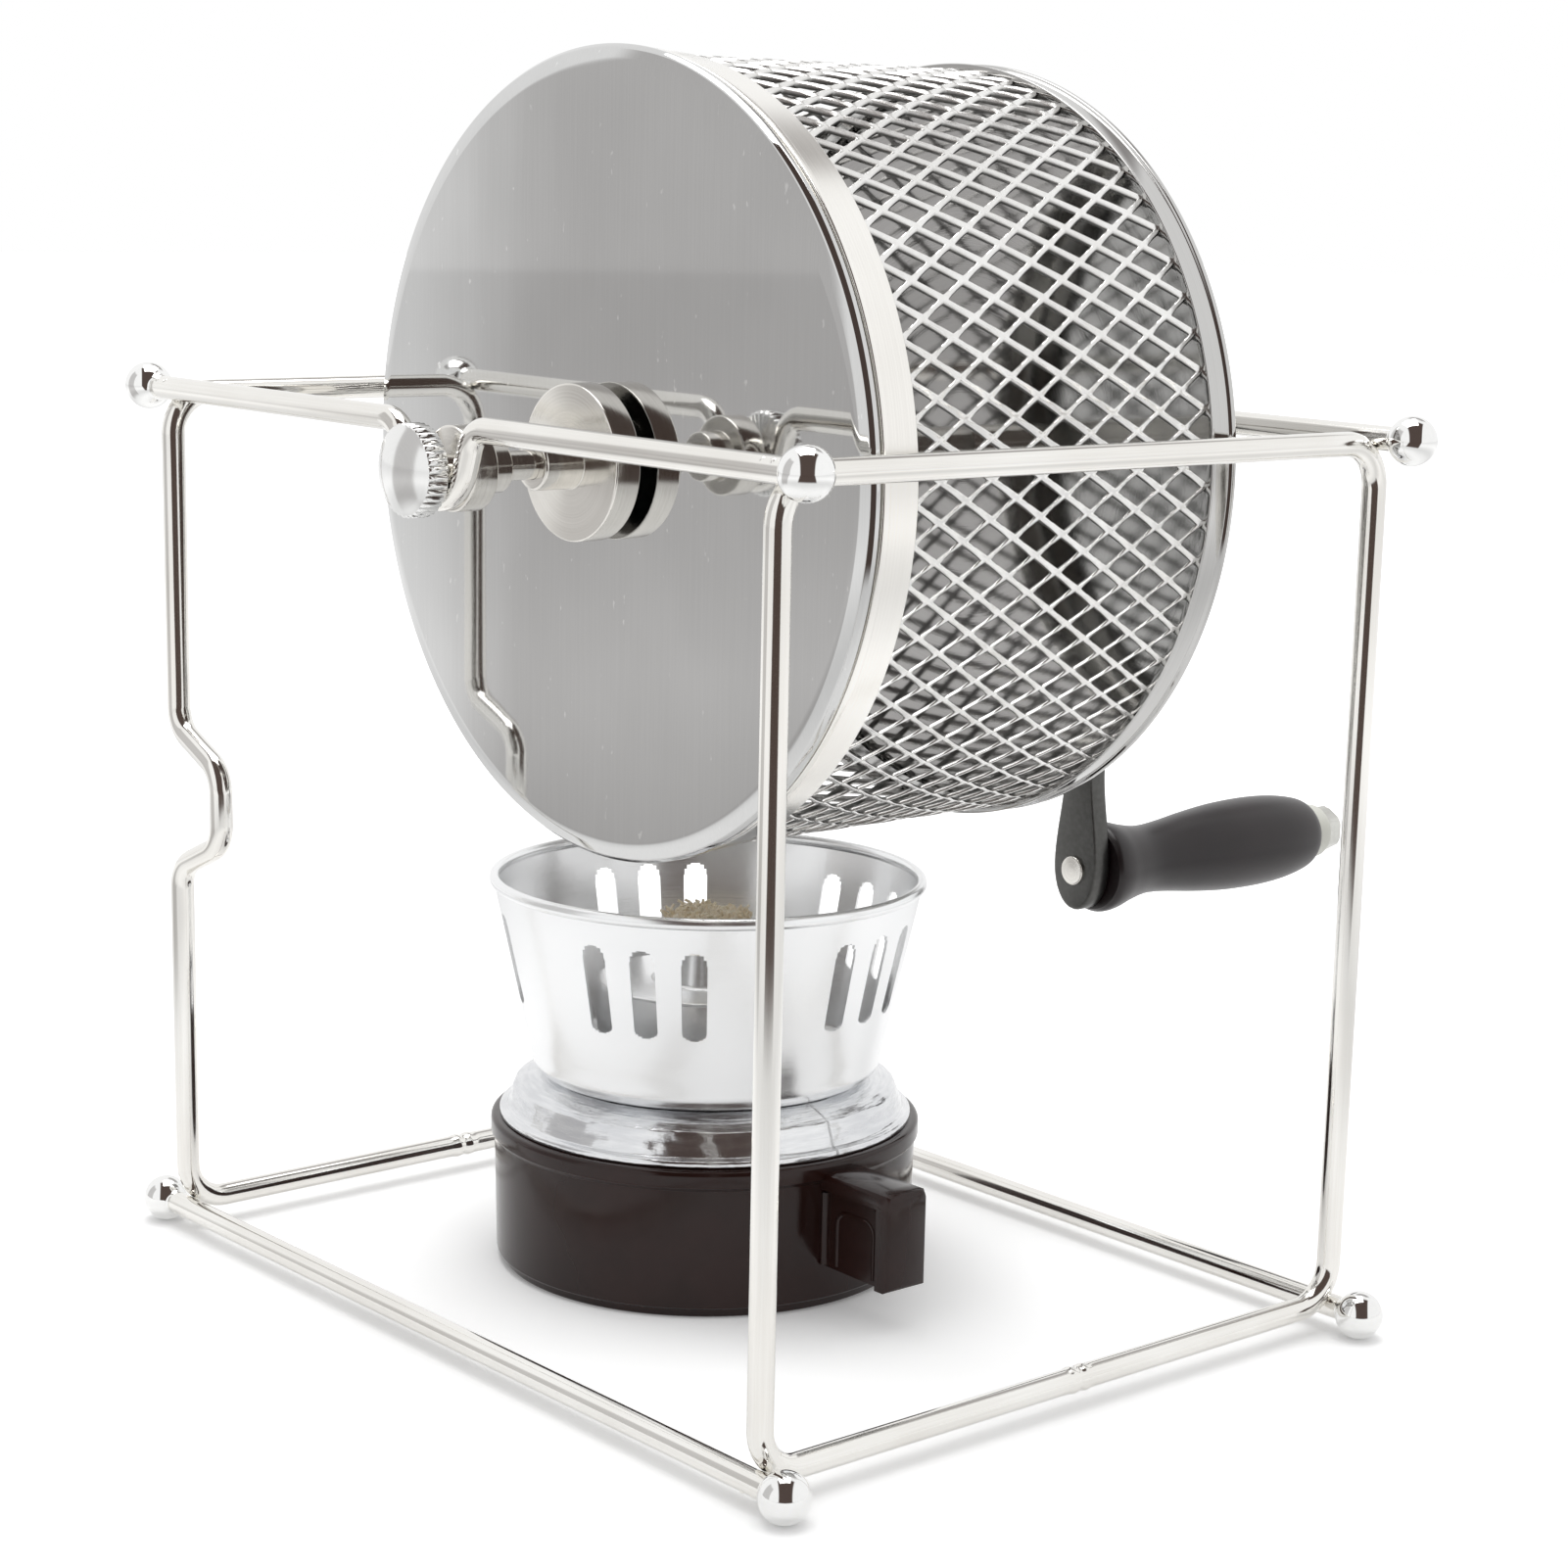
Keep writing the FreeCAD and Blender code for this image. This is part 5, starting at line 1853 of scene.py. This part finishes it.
@dataclass
class Studio:
    """The white floor and sky, the lamp and the camera."""

    camera_at: Corner = (528.4, -435.0, 238.0)
    right: Corner = (0.6656, 0.7458, 0.0273)
    up: Corner = (-0.1808, 0.1256, 0.9755)
    focal: float = 3363.77
    middle: tuple[float, float] = (913.07, 918.67)
    frame: int = 1601
    floor_grey: float = 0.86
    glow: float = 0.53
    sky: float = 0.50
    # Reach of the ambient occlusion that dims the floor's glow: painted contact shadow.
    painted_shadow_reach: float = 0.038
    backdrop: tuple[float, float] = (0.26, 0.9)
    backdrop_glow: float = 0.5
    backdrop_sheen: float = 0.45
    # Where, and how strongly, the floor near the roaster glows in reflections: painted light over its
    # shadow.
    near: tuple[float, float] = (0.15, 0.42)
    painted_near_glow: float = 0.3
    sensor: float = 36.0
    dark_room: Colour = (0.060, 0.036, 0.028)
    front_azimuth: float = -39.5
    front_span: tuple[float, float] = (-0.42, 0.52)
    front_low: float = -0.21
    gaps: tuple[Gap, ...] = (
        Gap(233.0, 19.0, -0.27, 0.66, 0.42, 2.5),
        Gap(120.0, 22.0, 0.62, 0.80, 0.62, 6.0),
    )

    def camera(self) -> None:
        """Set the camera to the photograph's view."""
        data = bpy.data.cameras.new("view")
        data.sensor_width = self.sensor
        data.lens = self.focal * self.sensor / self.frame
        data.shift_x = (self.frame / 2 - self.middle[0]) / self.frame
        data.shift_y = (self.middle[1] - self.frame / 2) / self.frame
        data.clip_start = 0.01
        data.clip_end = 20.0
        camera = bpy.data.objects.new("view", data)
        right, up = Vector(self.right).normalized(), Vector(self.up).normalized()
        back = right.cross(up).normalized()
        up = back.cross(right)
        turn = Matrix((right, up, back)).transposed().to_4x4()
        camera.matrix_world = Matrix.Translation(Vector(self.camera_at) * MM) @ turn
        bpy.context.collection.objects.link(camera)
        bpy.context.scene.camera = camera

    def floor(self) -> None:
        """Lay the floor, which shows white but keeps the roaster's shadow; ambient occlusion dims its glow
        round the roaster's feet, a painted contact shadow, and near the roaster it glows brighter in
        reflections, painted light.
        """
        mesh = bpy.data.meshes.new("floor")
        half = 6.0
        corners = [(-half, -half, 0), (half, -half, 0), (half, half, 0), (-half, half, 0)]
        mesh.from_pydata(corners, [], [(0, 1, 2, 3)])
        floor = bpy.data.objects.new("floor", mesh)
        bpy.context.collection.objects.link(floor)
        material = bpy.data.materials.new("white_floor")
        material.use_nodes = True
        bench = Bench(material.node_tree)
        eye, gloss = bench.rays()
        spot = bench.node("ShaderNodeTexCoord").outputs["Object"]
        place = bench.node("ShaderNodeSeparateXYZ", {}, {0: spot})
        x, y = Signal(bench, place.outputs[0]), Signal(bench, place.outputs[1])
        reach = (x * x + y * y) ** 0.5
        backdrop = reach.step(*self.backdrop)
        # In reflections the far floor glows as the backdrop, and the floor near the roaster glows as
        # painted light over its shadow.
        backdrop_and_painted_sheen = backdrop * self.backdrop_sheen + (1.0 - reach.step(*self.near)) * self.painted_near_glow
        # Ambient occlusion dims the floor's glow near the roaster: painted contact shadow.
        shade = bench.node("ShaderNodeAmbientOcclusion", {"samples": 8}, {"Distance": self.painted_shadow_reach})
        painted_shadow_mask = Signal(bench, shade.outputs["AO"])
        matt = bench.node("ShaderNodeBsdfDiffuse", {}, {"Color": (self.floor_grey,) * 3})
        glow = eye * (painted_shadow_mask * self.glow + backdrop * self.backdrop_glow) + gloss * backdrop_and_painted_sheen
        shine = bench.blend(glow, BLACK, WHITE)
        light = bench.node("ShaderNodeEmission", {}, {"Color": shine, "Strength": 1.0})
        paper = bench.node("ShaderNodeAddShader", {}, {0: matt.outputs[0], 1: light.outputs[0]})
        roaster_middle = (0.0, 0.0, 0.1)
        offset = bench.node("ShaderNodeVectorMath", {"operation": "SUBTRACT"}, {0: spot, 1: roaster_middle})
        way = bench.node("ShaderNodeVectorMath", {"operation": "NORMALIZE"}, {0: offset.outputs[0]})
        dim = gloss * self.dimness(bench, way.outputs[0])
        dark = bench.node("ShaderNodeEmission", {}, {"Color": self.dark_room, "Strength": 1.0})
        both = bench.node("ShaderNodeMixShader", {}, {0: dim, 1: paper.outputs[0], 2: dark.outputs[0]})
        bench.surface(both)
        mesh.materials.append(material)

    def dimness(self, bench: Bench, way: bpy.types.NodeSocket) -> Signal:
        """Say how dim the room is in a direction.

        Args:
            bench: The material or world that asks.
            way: The direction, seen from the roaster.

        Returns:
            0 where there is white paper or a soft box, and up to 1 where the dark room shows.
        """

        def along(source: object, azimuth: float) -> Signal:
            """Measure a direction along a level line.

            Args:
                source: The direction.
                azimuth: Where the line points, in degrees.

            Returns:
                The direction's share along the line.
            """
            line = (math.cos(math.radians(azimuth)), math.sin(math.radians(azimuth)), 0.0)
            dot = bench.node("ShaderNodeVectorMath", {"operation": "DOT_PRODUCT"}, {0: source, 1: line})
            return Signal(bench, dot.outputs["Value"])

        level = Signal(bench, bench.node("ShaderNodeSeparateXYZ", {}, {0: way}).outputs[2])
        across = along(way, self.front_azimuth + 90)
        low, high = self.front_span
        dim = across.step(low - 0.04, low + 0.04) * (1.0 - across.step(high - 0.04, high + 0.04))
        dim = dim * level.step(self.front_low - 0.03, self.front_low + 0.03)
        dim = dim * along(way, self.front_azimuth).step(-0.25, -0.10) * 0.97
        flat = bench.node("ShaderNodeVectorMath", {"operation": "MULTIPLY"}, {0: way, 1: (1.0, 1.0, 0.0)})
        flat = bench.node("ShaderNodeVectorMath", {"operation": "NORMALIZE"}, {0: flat.outputs[0]})
        for gap in self.gaps:
            outer = math.cos(math.radians(gap.half_width + gap.soft))
            inner = math.cos(math.radians(gap.half_width - gap.soft))
            patch = along(flat.outputs[0], gap.azimuth).step(outer, inner)
            above, below = (level.step(edge - 0.05, edge + 0.05) for edge in (gap.low, gap.high))
            patch = patch * above * (1.0 - below)
            dim = dim + patch * gap.depth * (1.0 - dim)
        return dim

    def world(self) -> None:
        """Fill the sky with soft light, white to the eye, with the room's dim parts in glossy rays."""
        world = bpy.data.worlds.new("studio")
        bpy.context.scene.world = world
        world.use_nodes = True
        bench = Bench(world.node_tree)
        eye, gloss = bench.rays()
        way = bench.node("ShaderNodeTexCoord").outputs["Generated"]
        colour = bench.blend(gloss * self.dimness(bench, way), WHITE, self.dark_room)
        strength = eye + gloss + (1.0 - eye - gloss) * self.sky
        light = bench.node("ShaderNodeBackground", {}, {"Color": colour, "Strength": strength})
        bench.node("ShaderNodeOutputWorld", {}, {"Surface": light.outputs[0]})

    def lamp(
        self, name: str, at: Corner, size: float, power: float, aim: Corner = (0.0, 0.0, 100.0)
    ) -> None:
        """Hang a soft lamp.

        Args:
            name: Its name.
            at: Its place in millimetres.
            size: Its side in millimetres.
            power: Its power in watts.
            aim: What it points at, in millimetres.
        """
        data = bpy.data.lights.new(name, "AREA")
        data.shape = "SQUARE"
        data.size = size * MM
        data.energy = power
        lamp = bpy.data.objects.new(name, data)
        lamp.location = Vector(at) * MM
        lamp.rotation_euler = (Vector(aim) - Vector(at)).to_track_quat("-Z", "Y").to_euler()
        bpy.context.collection.objects.link(lamp)

    def build(self) -> None:
        """Set up the whole studio."""
        bpy.context.scene.view_settings.view_transform = "Standard"
        self.camera()
        self.floor()
        self.world()
        self.lamp("top_lamp", (-150, 100, 1300), 900, 9.0)


def main() -> None:
    """Build the roaster from its sub-assemblies, then the studio."""
    logging.basicConfig(level=logging.INFO, format="%(name)s %(message)s")
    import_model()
    for part in (WireStand(), Drum(), LidAndNuts(), Crank(), Burner(), Studio()):
        part.build()
        LOG.info("built %s", type(part).__name__)


if __name__ == "__main__":
    main()
